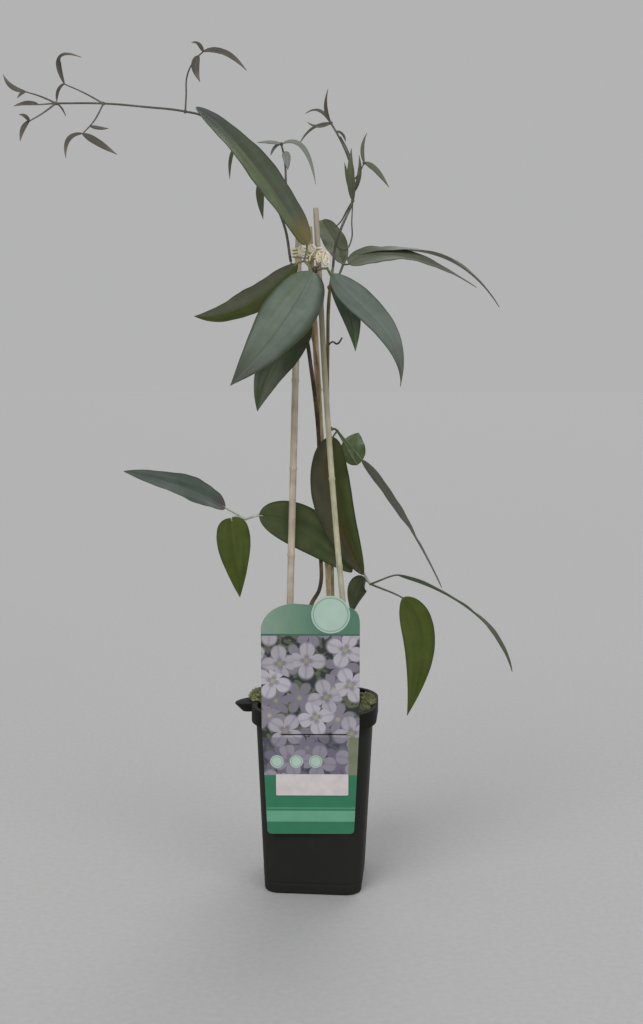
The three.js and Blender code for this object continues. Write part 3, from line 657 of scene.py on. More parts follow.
@dataclass(frozen=True)
class PrintedCard(Finish):
    """A printed polypropylene label: lilac blossoms over leaves, green bands, a soft gloss."""

    turn: tuple[float, float, float]
    origin: tuple[float, float, float]
    name: str = "printed_label_film"
    night: str = "#2e3334"
    foliage: str = "#5c664c"
    petal: str = "#b8b3bc"
    shade: str = "#87828f"
    heart: str = "#a8a57f"
    dusk: str = "#5b566f"
    olive: str = "#77805a"
    pale_top: str = "#86a18f"
    mint: str = "#b4cdbf"
    mint_edge: str = "#8fae9d"
    plain_back: str = "#b4bab2"
    # Each band's lower and upper edge and its ink.
    bands: tuple[tuple[tuple[float, float], str], ...] = (
        ((204, 240), "#557f69"), ((204, 206), "#456a57"), ((-1, 62), "#2f7a58"),
        ((26.5, 28), "#4f9673"), ((13, 24.5), "#68a888"),
    )
    # The emblem and the three discs: the middle, the radius and the rim's width.
    discs: tuple[tuple[float, float, float, float], ...] = (
        (19.5, 225, 18.5, 1.3), (-33, 76, 6.5, 0.9), (-14, 76, 6.5, 0.9), (5, 76, 6.5, 0.9),
    )
    cloud: float = 11.11

    def paint(self, graph: Graph) -> None:
        """Prints the pictures, the bands, the discs and the plain back."""
        # Card coordinates in millimetres: across, up the card, out of its face.
        card = graph.add(
            "Mapping", Vector=graph.place, Location=self.origin, Rotation=self.turn,
            Scale=(MM, MM, MM), vector_type="TEXTURE",
        )
        across, up, out = graph.add("SeparateXYZ", card).node.outputs
        leaves = graph.add("TexNoise", Vector=card, Scale=0.09, Detail=2.0, Distortion=1.5)
        picture = graph.add(
            "ValToRGB", Fac=leaves, stops=[(0.46, self.night), (0.56, self.foliage)]
        )
        for shift, size, petals, ink in (
            ((11.0, 19.0, 0.0), 31.0, 3.0, self.shade),
            ((4.0, 2.0, 0.0), 35.0, 2.0, self.petal),
        ):
            picture = self.blossoms(graph, card, shift, size, petals, ink, picture)
        # The lower picture lies in dusk, with a strip of leaves on its right.
        picture = self.printed(graph, up, (62, 101), picture, self.dusk, 0.45)
        low_half = graph.add("Math", up, 81.5, 19.5, operation="COMPARE")
        right = graph.add("Math", across, low_half, operation="MULTIPLY")
        picture = self.printed(graph, right, (37, 60), picture, self.olive, 0.85)
        for span, ink in self.bands:
            picture = self.printed(graph, up, span, picture, ink)
        # The top band pales towards the left.
        pale = graph.add("MapRange", Value=across, From_Min=10.0, From_Max=-45.0)
        band = graph.add("Math", up, 223.0, 17.0, operation="COMPARE")
        cover = graph.add("Math", pale, band, operation="MULTIPLY")
        picture = graph.painted(picture, [(cover, 0.0, 1.0, 1.0, self.pale_top)])
        for x, y, radius, rim in self.discs:
            away = graph.add("VectorMath", card, (x, y, 0.9), operation="DISTANCE")
            ring = (radius - 2 * rim, radius - rim)
            picture = self.printed(graph, away, (-1, radius), picture, self.mint)
            picture = self.printed(graph, away, ring, picture, self.mint_edge)
        picture = self.printed(graph, out, (-60, 0.2), picture, self.plain_back)
        cloud = graph.add("TexNoise", Scale=per(self.cloud), Detail=4.0)
        faded = graph.add("MapRange", Value=cloud, To_Min=0.88, To_Max=1.08)
        colour = graph.add("VectorMath", picture, faded, operation="SCALE")
        graph.finish(colour, (cloud, 0.3, 0.5), cloud, 0.15, IOR=1.5)

    def printed(
        self, graph: Graph, value: Socket, span: Point, ground: Socket, ink: str, cover: float = 1
    ) -> Socket:
        """Prints an ink over a ground where a value lies within a span.

        Args:
            graph: The material's nodes.
            value: The socket that is compared with the span.
            span: The span's lower and upper end.
            ground: The socket with the colour beneath.
            ink: The ink's colour.
            cover: How well the ink covers.

        Returns:
            The socket with the printed colour.
        """
        low, high = span
        middle, half = (low + high) / 2, (high - low) / 2
        inside = graph.add("Math", value, middle, half, operation="COMPARE")
        return graph.painted(ground, [(inside, 0.0, 1.0, cover, ink)])

    def blossoms(
        self, graph: Graph, card: Socket, shift: Point, size: float, petals: float, ink: str,
        ground: Socket,
    ) -> Socket:
        """Prints a loose field of simple round-petalled blossoms over a ground.

        Args:
            graph: The material's nodes.
            card: The socket with the card's coordinates in millimetres.
            shift: Where the field starts.
            size: The spacing of the blossoms.
            petals: Half of each blossom's number of petals.
            ink: The petals' colour.
            ground: The socket with the colour beneath.

        Returns:
            The socket with the printed colour.
        """
        moved = graph.add("VectorMath", card, shift, operation="ADD")
        cells = graph.add(
            "TexVoronoi", Vector=moved, Scale=1 / size, Randomness=0.6, voronoi_dimensions="2D"
        ).node.outputs
        local = graph.add("VectorMath", moved, cells["Position"], operation="SUBTRACT")
        x, y, _ = graph.add("SeparateXYZ", local).node.outputs
        angle = graph.add("Math", y, x, operation="ARCTAN2")
        lot, second_lot, _ = graph.add("SeparateColor", cells["Color"]).node.outputs
        phase = graph.add("Math", lot, 6.3, operation="MULTIPLY")
        turned = graph.add("Math", angle, petals, phase, operation="MULTIPLY_ADD")
        wave = graph.add("Math", turned, operation="COSINE")
        lobe = graph.add("Math", wave, operation="ABSOLUTE")
        full = graph.add("Math", lobe, 0.45, operation="POWER")
        reach = graph.add("Math", full, 0.44, 0.12, operation="MULTIPLY_ADD")
        share = graph.add("Math", cells["Distance"], reach, operation="DIVIDE")
        inks = (self.heart, self.shade, ink, ink, self.shade)
        tone = graph.add("ValToRGB", Fac=share, stops=list(zip((0.08, 0.2, 0.42, 0.86, 1.0), inks)))
        creased = graph.painted(tone, [(lobe, 0.97, 1.0, 0.4, self.shade)])
        bright = graph.add("MapRange", Value=second_lot, To_Min=0.82, To_Max=1.08)
        lit = graph.add("VectorMath", creased, bright, operation="SCALE")
        return graph.painted(ground, [(share, 1.06, 0.9, 1.0, lit)])


@dataclass(frozen=True)
class Matt(Finish):
    """An even matt surface, such as paper or painted board: faint clouds and a fine grain."""

    name: str
    colours: tuple[str, str]
    cloud: tuple[float, float]  # the size of the clouds in millimetres, and their detail
    grain: tuple[float, float]
    lightest: float  # the cloud value with the lighter colour
    gloss: tuple[float, float]
    shine: float

    def paint(self, graph: Graph) -> None:
        """Makes the clouds and the grain."""
        cloud, grain = (
            graph.add("TexNoise", Scale=per(size), Detail=detail)
            for size, detail in (self.cloud, self.grain)
        )
        stops = list(zip((0.3, self.lightest), self.colours))
        colour = graph.add("ValToRGB", Fac=cloud, stops=stops)
        graph.finish(colour, (grain, *self.gloss), grain, 0.05, Specular_IOR_Level=self.shine)


POT_PLASTIC = MouldedPlastic()
STICKER_PAPER = Matt(
    "matt_sticker_paper", ("#ccc4c4", "#d8d1d1"), (9.09, 6.0), (0.714, 3.0), 0.65, (0.65, 0.85), 0.4
)
FLOOR_BOARD = Matt(
    "pale_floor", ("#afafae", "#b5b5b5"), (6.25, 3.0), (6.25, 3.0), 0.7, (0.8, 0.95), 0.1
)
COMPOST = Crumbs("peat_and_bark_compost", ("#1d160f", "#3a2d1f", "#5f4c37"), 2.2)
BARK_CHIPS = Crumbs("bark_chips", ("#33261a", "#5a4530", "#83694b"), 3.0)
MOSS = Crumbs("dry_cushion_moss", ("#5f5f42", "#878a64", "#adaf8c"), 1.4)

CANE_FIBRE = (0.7, 26.0)
BARK_FIBRE = (0.8, 14.0)
STALK_FIBRE = (0.8, 9.0)
BAMBOO = Fibrous(
    "dried_bamboo", ("#a08c68", "#bfae88", "#d6c8a4"), CANE_FIBRE, (0.42, 0.66), 0.12, "#6a5a40"
)
PINK_BAMBOO = Fibrous(
    "weathered_bamboo", ("#9a8c7b", "#b7aa99", "#cabfae"), CANE_FIBRE, (0.5, 0.72), 0.12, "#6f5d49"
)
GREEN_BAMBOO = Fibrous(
    "yellow_green_bamboo", ("#9a977a", "#b4b194", "#c9c6ab"), CANE_FIBRE, (0.42, 0.62), 0.12,
    "#7b7550", "#9a8f7f",
)
PITH = Fibrous("cut_bamboo_end", ("#7a6546", "#a38d67", "#cbb88f"), (0.5, 0.5), (0.7, 0.9), 0.2)
SISAL = Fibrous("sisal_twine", ("#c4b696", "#e6dec4", "#f7f1de"), (0.35, 1.6), (0.7, 0.95), 0.15)
BARK = Fibrous("stringy_bark", ("#2c241a", "#4d4030", "#74634c"), BARK_FIBRE, (0.7, 0.95), 0.35)
TWIG_BARK = Fibrous(
    "brown_twig_bark", ("#6e5c46", "#948064", "#b5a183"), BARK_FIBRE, (0.7, 0.95), 0.25
)
OLIVE_BARK = Fibrous(
    "olive_twig_bark", ("#544f32", "#736d48", "#918b62"), BARK_FIBRE, (0.6, 0.85), 0.25
)
GREEN_STALK = Fibrous(
    "green_leaf_stalk", ("#414a2e", "#596341", "#79825c"), STALK_FIBRE, (0.4, 0.6), 0.08
)
# Pale stalks, lightened further by a painted highlight where they catch the light.
PALE_LIT_STALK = Fibrous(
    "pale_lit_leaf_stalk", ("#7f8674", "#a2a896", "#c2c6b6"), STALK_FIBRE, (0.4, 0.6), 0.08
)
YOUNG_STALK = Fibrous(
    "young_stalk", ("#3d3a33", "#56524a", "#757066"), (0.6, 7.0), (0.45, 0.65), 0.08
)

UNDERSIDE = LeafSkin(
    "grey_green_underside", ("#4c5840", "#67745a"), gloss=(0.55, 0.7), shine=0.3, margin="#4c5840"
)
DULL_UNDERSIDE = LeafSkin("dull_underside", ("#5c5d50", "#74746a"), tip="#5a585e", margin="#56564c")
OLD_UNDERSIDE = LeafSkin(
    "olive_underside", ("#465022", "#5f6938"), gloss=(0.55, 0.7), shine=0.3, margin="#465022"
)


class Tone(Enum):
    """How a leaf is coloured, by its upper skin: its own greens, with painted light and shade on
    some leaves.
    """

    # Painted light and shade: the first, darker greens paint one half in shade, the second, lighter
    # ones the other half lit.
    TWO_GREENS = LeafSkin(
        "leaf_of_two_greens", ("#353f2c", "#4f5a43"), ("#525e42", "#717b60"), foot="#6b6238",
        tip="#3f4440", shine=0.3, coat=0.08, under=UNDERSIDE,
    )
    # Painted light: the olive second colours paint one half as lit through from behind.
    DARK_EDGED = LeafSkin(
        "dark_edged_leaf", ("#393e2c", "#535543"), ("#2e350f", "#40491a"), vein="#4c5528",
        under=OLD_UNDERSIDE,
    )
    # Its grey is partly the wax bloom and partly a painted reflection of the sky.
    WAXY = LeafSkin(
        "waxy_bloom_and_sky_sheen_leaf", ("#4b5948", "#6f7b6d"), ("#4a574b", "#6f7b6f"), vein="#414b3d",
        vein_share=0.4, tip="#3f4639", margin="#262f1a", deep_margin=0.2, shine=0.3, coat=0.12,
        under=UNDERSIDE,
    )
    DARK_GREEN = LeafSkin(
        "dark_green_leaf", ("#2c3723", "#444f33"), vein="#5a6844", shine=0.3, coat=0.08,
        under=UNDERSIDE,
    )
    GREEN = LeafSkin(
        "soft_green_leaf", ("#435130", "#62714a"), vein="#6a7a52", shine=0.12, under=UNDERSIDE
    )
    # Its grey is partly the wax bloom and partly a painted reflection of the sky.
    GREY = LeafSkin(
        "grey_bloom_and_sky_sheen_leaf", ("#4c594d", "#68736a"), tip="#494941", margin="#3a4038", shine=0.3,
        coat=0.08, under=UNDERSIDE,
    )
    SHADED = LeafSkin(
        "shaded_green_leaf", ("#43513c", "#5d6a5a"), tip="#45592a", shine=0.3, coat=0.08,
        under=UNDERSIDE,
    )
    GREY_GREEN = LeafSkin(
        "grey_green_leaf", ("#4d5342", "#6a6e5d"), tip="#605f5b", vein="#6c705e", margin="#484c3d",
        under=DULL_UNDERSIDE,
    )
    DULL = LeafSkin(
        "dull_leathery_leaf", ("#585a50", "#6f7067"), tip="#56545a", vein="#757b68",
        margin="#4b4b45", under=DULL_UNDERSIDE,
    )
    DRAB = LeafSkin(
        "drab_green_leaf", ("#434a33", "#575c45"), vein="#6a6e5a", margin="#3f4434",
        under=UNDERSIDE,
    )
    DEEP = LeafSkin("deep_green_leaf", ("#384229", "#515c38"), vein="#4a5836", under=OLD_UNDERSIDE)
    BLUE_GREY = LeafSkin(
        "blue_grey_leaf", ("#3d4740", "#545e56"), foot="#54504e", vein="#4f5e56", shine=0.2,
        margin="#4a4a48", under=UNDERSIDE,
    )
    BROWNED = LeafSkin(
        "browned_old_leaf", ("#3a3d2c", "#524e3c"), ("#3a421e", "#4d5630"), stain="#4a3d1e",
        vein="#453c22", under=OLD_UNDERSIDE,
    )
    # Painted light: the olive of a leaf lit through from behind.
    OLIVE = LeafSkin(
        "backlit_olive_leaf", ("#384316", "#4d5825"), vein="#5a6634", vein_share=0.12, shine=0.1,
        margin="#384220", under=OLD_UNDERSIDE,
    )
    YOUNG = LeafSkin("young_green_leaf", ("#4a5039", "#666b50"), margin="#55593f", shine=0.3)
    BRONZE = LeafSkin(
        "bronze_young_leaf", ("#46443c", "#605c53"), tip="#776b62", margin="#524d45", shine=0.3
    )
    PALE_YOUNG = LeafSkin("pale_young_leaf", ("#6c7168", "#868b82"), margin="#6c7168", shine=0.3)


# The pot ----------------------------------------------------------------------------------------


@dataclass
class NurseryPot:
    """The square tapered pot with its hollow rolled rim and the lug on the rim's left."""

    height: float = 187
    base_width: float = 98
    top_width: float = 118
    base_radius: float = 16
    top_radius: float = 38
    wall: float = 1.6
    floor: float = 2.4
    foot_line: tuple[float, float] = (10, 12.6)  # the heights of the moulded line round the foot
    rim_width: float = 126
    rim_radius: float = 42
    rim_depth: float = 16
    rim_wall: float = 1.8
    rim_edge: float = 1.6  # the radius of its upper edge
    lug_reach: float = 21
    lug_half: float = 15
    lug_depth: float = 10
    lug_wall: float = 1.8
    lug_shift: float = -4  # from the middle of the pot's side
    lug_droop: float = 0.13  # how much it falls for each millimetre outwards
    drain_place: float = 27
    drain_radius: float = 5

    def body(self, z: float, drawn_in: float = 0, side: int = 1) -> list[Point]:
        """The body's plan at a height, drawn in by some millimetres from its outside."""
        share = z / self.height
        width = lerp(self.base_width, self.top_width, share) - 2 * drawn_in
        radius = lerp(self.base_radius, self.top_radius, share) - drawn_in
        return rounded_ring((width, width), radius, z, side=side)

    def rim(self, z: float, drawn_in: float) -> list[Point]:
        """The rim's plan at a height, drawn in by some millimetres from its outside."""
        width = self.rim_width - 2 * drawn_in
        return rounded_ring((width, width), self.rim_radius - drawn_in, z)

    def build(self) -> None:
        """Makes the pot and puts it in place of its solid."""
        top, skirt, wall = self.height, self.height - self.rim_depth, self.wall
        low, high = self.foot_line
        # Each ring's height and how far it is drawn in: up the body, round the rim, down inside.
        outside = (
            (0, 2), (0.6, 0.6), (2, 0), (low, 0), (low + 0.4, 0.5), (high - 0.4, 0.5), (high, 0),
            (60, 0), (115, 0), (skirt, 0), (top - self.rim_wall, 0),
        )
        rim = [
            (top - self.rim_wall, self.rim_wall), (skirt + 0.3, self.rim_wall),
            (skirt, self.rim_wall - 0.4), (skirt, 0.4), (skirt + 0.4, 0),
        ]
        for angle in [math.pi / 8 * step for step in range(5)]:
            up, back = self.rim_edge * (1 - math.sin(angle)), self.rim_edge * (1 - math.cos(angle))
            rim.append((top - up, back))
        inside = (
            (top, wall - 0.9), (top - 0.3, wall - 0.2), (top - 1, wall), (skirt, wall),
            (100, wall), (12, wall), (self.floor, wall + 3),
        )
        shell = loft(
            [self.body(*ring) for ring in outside]
            + [self.rim(*ring) for ring in rim]
            + [self.body(*ring) for ring in inside]
        )
        combine(shell, self.lug(), "UNION")
        drains = [
            primitive(
                bpy.ops.mesh.primitive_cylinder_add, vertices=32, radius=self.drain_radius * MM,
                depth=20 * MM, location=metres((x, y, 0)),
            )
            for x in (-self.drain_place, self.drain_place)
            for y in (-self.drain_place, self.drain_place)
        ]
        combine(shell, joined("drains", drains), "DIFFERENCE")
        clean(shell, 35)
        shell.data.materials.clear()
        POT_PLASTIC.dress(shell)
        place(shell, "nursery_pot", Slot.POT, "pot")

    def lug_ring(self, z: float, share: float, drawn_in: float) -> list[Point]:
        """The lug's plan.

        Args:
            z: The height of its root.
            share: Its size there, as a share of the full one.
            drawn_in: How far it is drawn in.

        Returns:
            The ring's points.
        """
        root = (self.rim_width - self.rim_wall) / 2
        points = []
        for cosine, sine in circle(48):
            out = (self.lug_reach * share - drawn_in) * cosine
            across = (self.lug_half * share - drawn_in) * sine
            points.append((out - root, across + self.lug_shift, z + self.lug_droop * min(0, out)))
        return points

    def lug(self) -> Shape:
        """The hollow half-cap on the left of the rim, which droops outwards."""
        top, bottom, wall = self.height, self.height - self.lug_depth, self.lug_wall
        outer = ((bottom, 0.62, 0), (top - 1.4, 0.99, 0), (top - 0.4, 1, 0.4), (top, 1, 1.4))
        inner = ((bottom - 2, 0.55, wall), (top - wall, 1, wall))
        cap, hollow = (loft([self.lug_ring(*ring) for ring in way]) for way in (outer, inner))
        combine(cap, hollow, "DIFFERENCE")
        # Nothing of it stands inside the rim.
        block = 100
        middle = metres((block / 2 - (self.rim_width - self.rim_wall) / 2, 0, top))
        tool = primitive(bpy.ops.mesh.primitive_cube_add, size=block * MM, location=middle)
        combine(cap, tool, "DIFFERENCE")
        return cap


# Soil and moss ----------------------------------------------------------------------------------

CLUMPS = ((-46, 5, 10, 14), (46, -4, 10, 13), (-4, 28, 17, 5))  # x, y, spread, height
CUSHIONS = (  # centres and half-sizes
    ((-57, 4, 187), (12, 12, 9)), ((51, -4, 186), (10, 13, 9)), ((49, -26, 181), (11, 14, 7)),
)
STREWN = (  # how many, their size, their height as a share of it, finish
    (210, 1.5, 0.8, COMPOST), (90, 2.6, 0.45, BARK_CHIPS),
)


@dataclass
class SoilAndMoss:
    """The mounded compost with its crumbs, and the moss at both sides."""

    pot: NurseryPot
    edge: float = 178
    middle: float = 187
    rings: int = 46
    strewn: float = 54  # how far from the middle the crumbs lie
    front: float = -44  # and how far forward
    shoots: int = 420  # on a cushion
    dip: float = 6  # how far the soil falls behind the label
    ripple: float = 0.9  # how uneven it is

    def top(self, x: float, y: float) -> float:
        """Height of the soil at a place."""
        reach = min(1, math.hypot(x, y) / (self.pot.top_width / 2))
        height = lerp(self.middle, self.edge, reach**3) - self.dip * smooth(36, 52, -y)
        height += self.ripple * math.sin(x / 4.1) * math.cos(y / 5.3)
        for cx, cy, spread, rise in CLUMPS:
            height += rise * math.exp(-((x - cx) ** 2 + (y - cy) ** 2) / (2 * spread**2))
        return height

    def build(self) -> None:
        """Makes the soil, its loose crumbs and the moss."""
        inside = self.pot.wall + 0.3
        rings = [
            self.pot.body(z, drawn, side=16)
            for z, drawn in ((2.7, inside + 1), (20, inside), (166, inside))
        ]
        edge = self.pot.body(172, inside, side=16)
        for share in [1 - i / self.rings for i in range(self.rings)]:
            # The crumbs start beside the wall.
            rough = 1.5 * smooth(1.0, 0.94, share)
            ring = []
            for x, y in [(x * share, y * share) for x, y, _ in edge]:
                crumbs = noise.fractal(Vector((x, y, 3.0)) / 5.5, 0.7, 2.1, 4)
                ring.append((x, y, self.top(x, y) + rough * crumbs))
            rings.append(ring)
        soil = loft(rings)
        focus(soil)
        bpy.ops.object.shade_smooth()
        COMPOST.dress(soil)
        place(soil, "compost", Slot.SOIL, "soil")
        self.chips()
        self.moss()

    def chips(self) -> None:
        """Strews loose crumbs and bark chips over the soil."""
        draw = random.Random(11)
        shapes = []
        for count, size, flat, finish in STREWN:
            chip = primitive(bpy.ops.mesh.primitive_ico_sphere_add, subdivisions=1, radius=MM)
            for vertex in chip.data.vertices:
                vertex.co *= 1 + 0.5 * noise.noise(vertex.co * 1400)
            spots = []
            while len(spots) < count:
                x, y = (draw.uniform(-self.strewn, self.strewn) for _ in range(2))
                if math.hypot(x, y) > self.strewn or y < self.front:
                    continue
                grow = size * draw.uniform(0.5, 1.3)
                spots.append(
                    Matrix.Translation(metres((x, y, self.top(x, y) + 0.6)))
                    @ Matrix.Rotation(draw.uniform(0, 6.3), 4, "Z")
                    @ Matrix.Rotation(draw.uniform(-0.5, 0.5), 4, "X")
                    @ Matrix.Diagonal((grow * 1.5, grow, grow * flat, 1))
                )
            shapes.append(scattered(chip, spots))
            finish.dress(chip)
        place(joined("crumbs", shapes), "crumbs_and_chips", Slot.SOIL)

    def moss(self) -> None:
        """Makes the moss: lumpy cushions under short upright shoots."""
        draw = random.Random(5)
        shapes = [knob(centre, half, 0.2) for centre, half in CUSHIONS]
        spots = []
        for centre, half in CUSHIONS:
            for _ in range(self.shoots):
                x, y, z = (draw.gauss(0, 1) for _ in range(3))
                way = Vector((x, y, abs(z))).normalized()
                spot = metres([c + h * w * 0.93 for c, h, w in zip(centre, half, way)])
                aside = [draw.gauss(0, 0.35) for _ in range(2)]
                lean = (way + Vector((*aside, 0.5))).normalized()
                grow = draw.uniform(0.7, 1.5)
                turn = Vector((0, 0, 1)).rotation_difference(lean).to_matrix().to_4x4()
                size = Matrix.Diagonal((grow, grow, grow, 1))
                spots.append(Matrix.Translation(spot) @ turn @ size)
        shoot = primitive(
            bpy.ops.mesh.primitive_cone_add, vertices=5, radius1=0.8 * MM, radius2=0.15 * MM,
            depth=2.6 * MM, location=metres((0, 0, 0.9)),
        )
        shapes.append(scattered(shoot, spots))
        MOSS.dress(*shapes)
        place(joined("moss", shapes), "moss_cushions", Slot.SOIL)


# Canes and tie ----------------------------------------------------------------------------------


@dataclass
class Cane:
    """One bamboo cane: a slow taper, a ring at each node and a hollow cut end."""

    name: str
    ground: Point
    tip: Point
    foot_radius: float
    tip_radius: float
    skin: Finish
    ridge: float = 0.55
    node_spacing: float = 88
    first_node: float = 53
    buried: float = 72
    bow: float = 0  # how far it swings sideways halfway between the ground and the tie
    tied: float = 637
    hollow: float = 5  # how deep the cut end is open

    def swing(self, z: float) -> float:
        """How far the bow carries the cane sideways at a height."""
        ground = self.ground[2]
        return self.bow * math.sin(math.pi * max(0, z - ground) / (self.tied - ground))

    def at(self, z: float) -> Vector:
        """Where the cane's axis passes a height."""
        share = (z - self.ground[2]) / (self.tip[2] - self.ground[2])
        return Vector(self.ground).lerp(Vector(self.tip), share) + Vector((self.swing(z), 0, 0))

    def build(self) -> None:
        """Makes the cane and puts it in place of its solid."""
        up = (Vector(self.tip) - Vector(self.ground)).normalized()
        foot = Vector(self.ground) - up * self.buried
        length = (Vector(self.tip) - foot).length
        profile = [(0.0, -0.6)]
        node = self.first_node
        while node < length - 10:
            # A groove above the sheath scar, then the swollen ring.
            profile += [(node - below, 0.0) for below in (58, 30, 5) if node > below]
            profile += [(node - 2.2, 0.12), (node - 0.9, self.ridge)]
            profile += [
                (node, self.ridge * 0.7), (node + 0.7, self.ridge * 0.95), (node + 2.2, 0.05)
            ]
            node += self.node_spacing
        profile += [(length - 8, 0.0), (length - 0.5, 0.0), (length, -0.5)]
        rings = [
            (along, lerp(self.foot_radius, self.tip_radius, along / length) + swell)
            for along, swell in profile
        ]
        rings += [(length, self.tip_radius * 0.5), (length - self.hollow, self.tip_radius * 0.42)]
        shape = loft([self.ring(foot, up, *ring) for ring in rings])
        self.skin.dress(shape)
        PITH.dress(shape)
        end = metres(self.at(self.tip[2]))
        for face in shape.data.polygons:
            away = face.center - end
            deep = away.dot(up)
            inside = (away - up * deep).length < self.tip_radius * 0.9 * MM
            face.material_index = int(inside and deep > -(self.hollow + 1) * MM)
        clean(shape, 50)
        place(shape, f"bamboo_{self.name}", Slot.BAMBOO, f"cane_{self.name}")

    def ring(self, foot: Vector, up: Vector, along: float, radius: float) -> list[Vector]:
        """A slightly uneven ring round the axis.

        Args:
            foot: The axis's lower end.
            up: The axis's direction.
            along: The height along the axis.
            radius: The ring's radius.

        Returns:
            The ring's points.
        """
        turn = Vector((0, 0, 1)).rotation_difference(up)
        ring = []
        for cosine, sine in circle(28):
            way = Vector((cosine, sine, 0))
            size = radius * (1 + 0.02 * noise.noise(way * 1.5 + Vector((0, 0, along / 40))))
            point = foot + turn @ (way * size + Vector((0, 0, along)))
            ring.append(point + Vector((self.swing(point.z), 0, 0)))
        return ring


KNOTS = (  # centre and half-sizes of the bow's lumps
    ((11, -12, 631), (4, 4.4, 7)), ((4.2, -12, 632), (3, 4, 5.4)),
    ((-3, -10.6, 641), (4.6, 2.6, 4)), ((-14, -8.8, 638.5), (2.6, 2.4, 5.4)),
)
TAILS = (
    ((10, -13, 633), (14, -15, 631), (14, -15, 626)),
    ((0, -11, 639), (-4, -12.5, 634), (-5, -13, 629)),
)


@dataclass
class Twine:
    """Two-ply twine, wound three times round the canes and tied in a bow."""

    canes: Sequence[Cane]
    height: float = 637
    radius: float = 1.2
    turns: int = 3
    steps: int = 18  # in a turn
    pitch: float = 3.2
    slack: float = 0.9
    lay: float = 4.4  # the length in which the plies wind once round each other
    ply_radius: float = 0.68
    ply_offset: float = 0.52

    def build(self) -> None:
        """Makes the tie and puts it in place of its solid."""
        reach = [cane.tip_radius + cane.ridge + self.slack + self.radius for cane in self.canes]
        route = []
        for i in range(self.turns * self.steps + 1):
            angle = 2 * math.pi * i / self.steps - math.pi / 4
            way = Vector((math.cos(angle), math.sin(angle), 0))
            hull = [cane.at(self.height) + way * out for cane, out in zip(self.canes, reach)]
            corner = max(hull, key=lambda p: p.dot(way))
            z = self.height + (i / self.steps - self.turns / 2) * self.pitch
            route.append((corner.x, corner.y, z))
        lines = [(route, 1.0)] + [(tail, 0.85) for tail in TAILS]
        lines += [(self.wound(centre, half), 0.9) for centre, half in KNOTS]
        parts = [knob(centre, [size * 0.8 for size in half], 0.2) for centre, half in KNOTS]
        for line, fine in lines:
            parts += self.plies([Vector(p) for p in line], fine)
        SISAL.dress(*parts)
        place(joined("tie", parts), "cane_twine", Slot.TWINE, "cane_tie")

    def wound(self, centre: Point, half: Point, rounds: int = 4, steps: int = 14) -> list[Vector]:
        """Twine wound into a lump, its rounds upright and each a little turned from the last.

        Args:
            centre: The lump's middle.
            half: Its half-sizes.
            rounds: How often the twine goes round.
            steps: Steps in a round.

        Returns:
            The twine's centreline.
        """
        line = []
        for i in range(rounds * steps + 1):
            up = 2 * math.pi * i / steps
            swing = lerp(-0.9, 0.9, i / (rounds * steps))
            out = math.cos(up)
            way = (out * math.cos(swing), out * math.sin(swing) - 0.35, math.sin(up))
            inner = [size - self.radius * 0.6 for size in half]
            line.append(Vector([c + h * w for c, h, w in zip(centre, inner, way)]))
        return line

    def plies(self, line: list[Vector], fine: float) -> list[Shape]:
        """Two strands that wind round one line.

        Args:
            line: The twine's centreline.
            fine: The twine's size, as a share of the full one.

        Returns:
            The strands.
        """
        spaced = [line[0]]
        for a, b in zip(line, line[1:]):
            count = max(1, round((b - a).length / 0.7))
            spaced += [a.lerp(b, (i + 1) / count) for i in range(count)]
        side = Vector((0, 0, 1))
        travelled = 0.0
        strands: list[list[Vector]] = [[], []]
        for before, point, after in zip([spaced[0], *spaced], spaced, [*spaced[1:], spaced[-1]]):
            along = (after - before).normalized()
            side = (side - along * side.dot(along)).normalized()
            other = along.cross(side)
            travelled += (point - before).length
            angle = travelled / self.lay * 2 * math.pi
            out = (side * math.cos(angle) + other * math.sin(angle)) * self.ply_offset * fine
            for strand, way in zip(strands, (1, -1)):
                strand.append(point + out * way)
        return [tube(strand, self.ply_radius * fine, rings=1, sides=1) for strand in strands]


# Stems ------------------------------------------------------------------------------------------


@dataclass
class WoodyStem:
    """A brown stem with swollen nodes, its side branches and tendrils."""

    name: str
    node: str
    lines: Sequence[tuple[Sequence[Point], float, Finish]]  # each route, its radius and its bark
    nodes: Sequence[tuple[Point, float]]

    def build(self) -> None:
        """Makes the stem and puts it in place of its solid."""
        draw = random.Random(len(self.lines[0][0]))
        parts = []
        for route, radius, bark in self.lines:
            radii = [radius * draw.uniform(0.9, 1.08) for _ in route]
            radii[-1] *= 0.85
            parts.append(tube(route, radii, rings=7, sides=3))
            bark.dress(parts[-1])
        for centre, radius in self.nodes:
            swelling = knob(centre, (radius, radius, radius * 1.35), 0.35)
            # Beside each node stands the dry stub of an old leaf stalk.
            end = Vector(centre) + Vector((1.6, -0.6, 1.2)) * radius
            stub = tube([centre, end], [radius * 0.42, radius * 0.24], rings=2)
            self.lines[0][2].dress(swelling, stub)
            parts += [swelling, stub]
        place(joined(self.name, parts), self.name, Slot.WOOD, self.node)


# Leaves -----------------------------------------------------------------------------------------

HOOK_RISE = 6.75  # makes t * t * (1 - t) reach 1 where it is largest


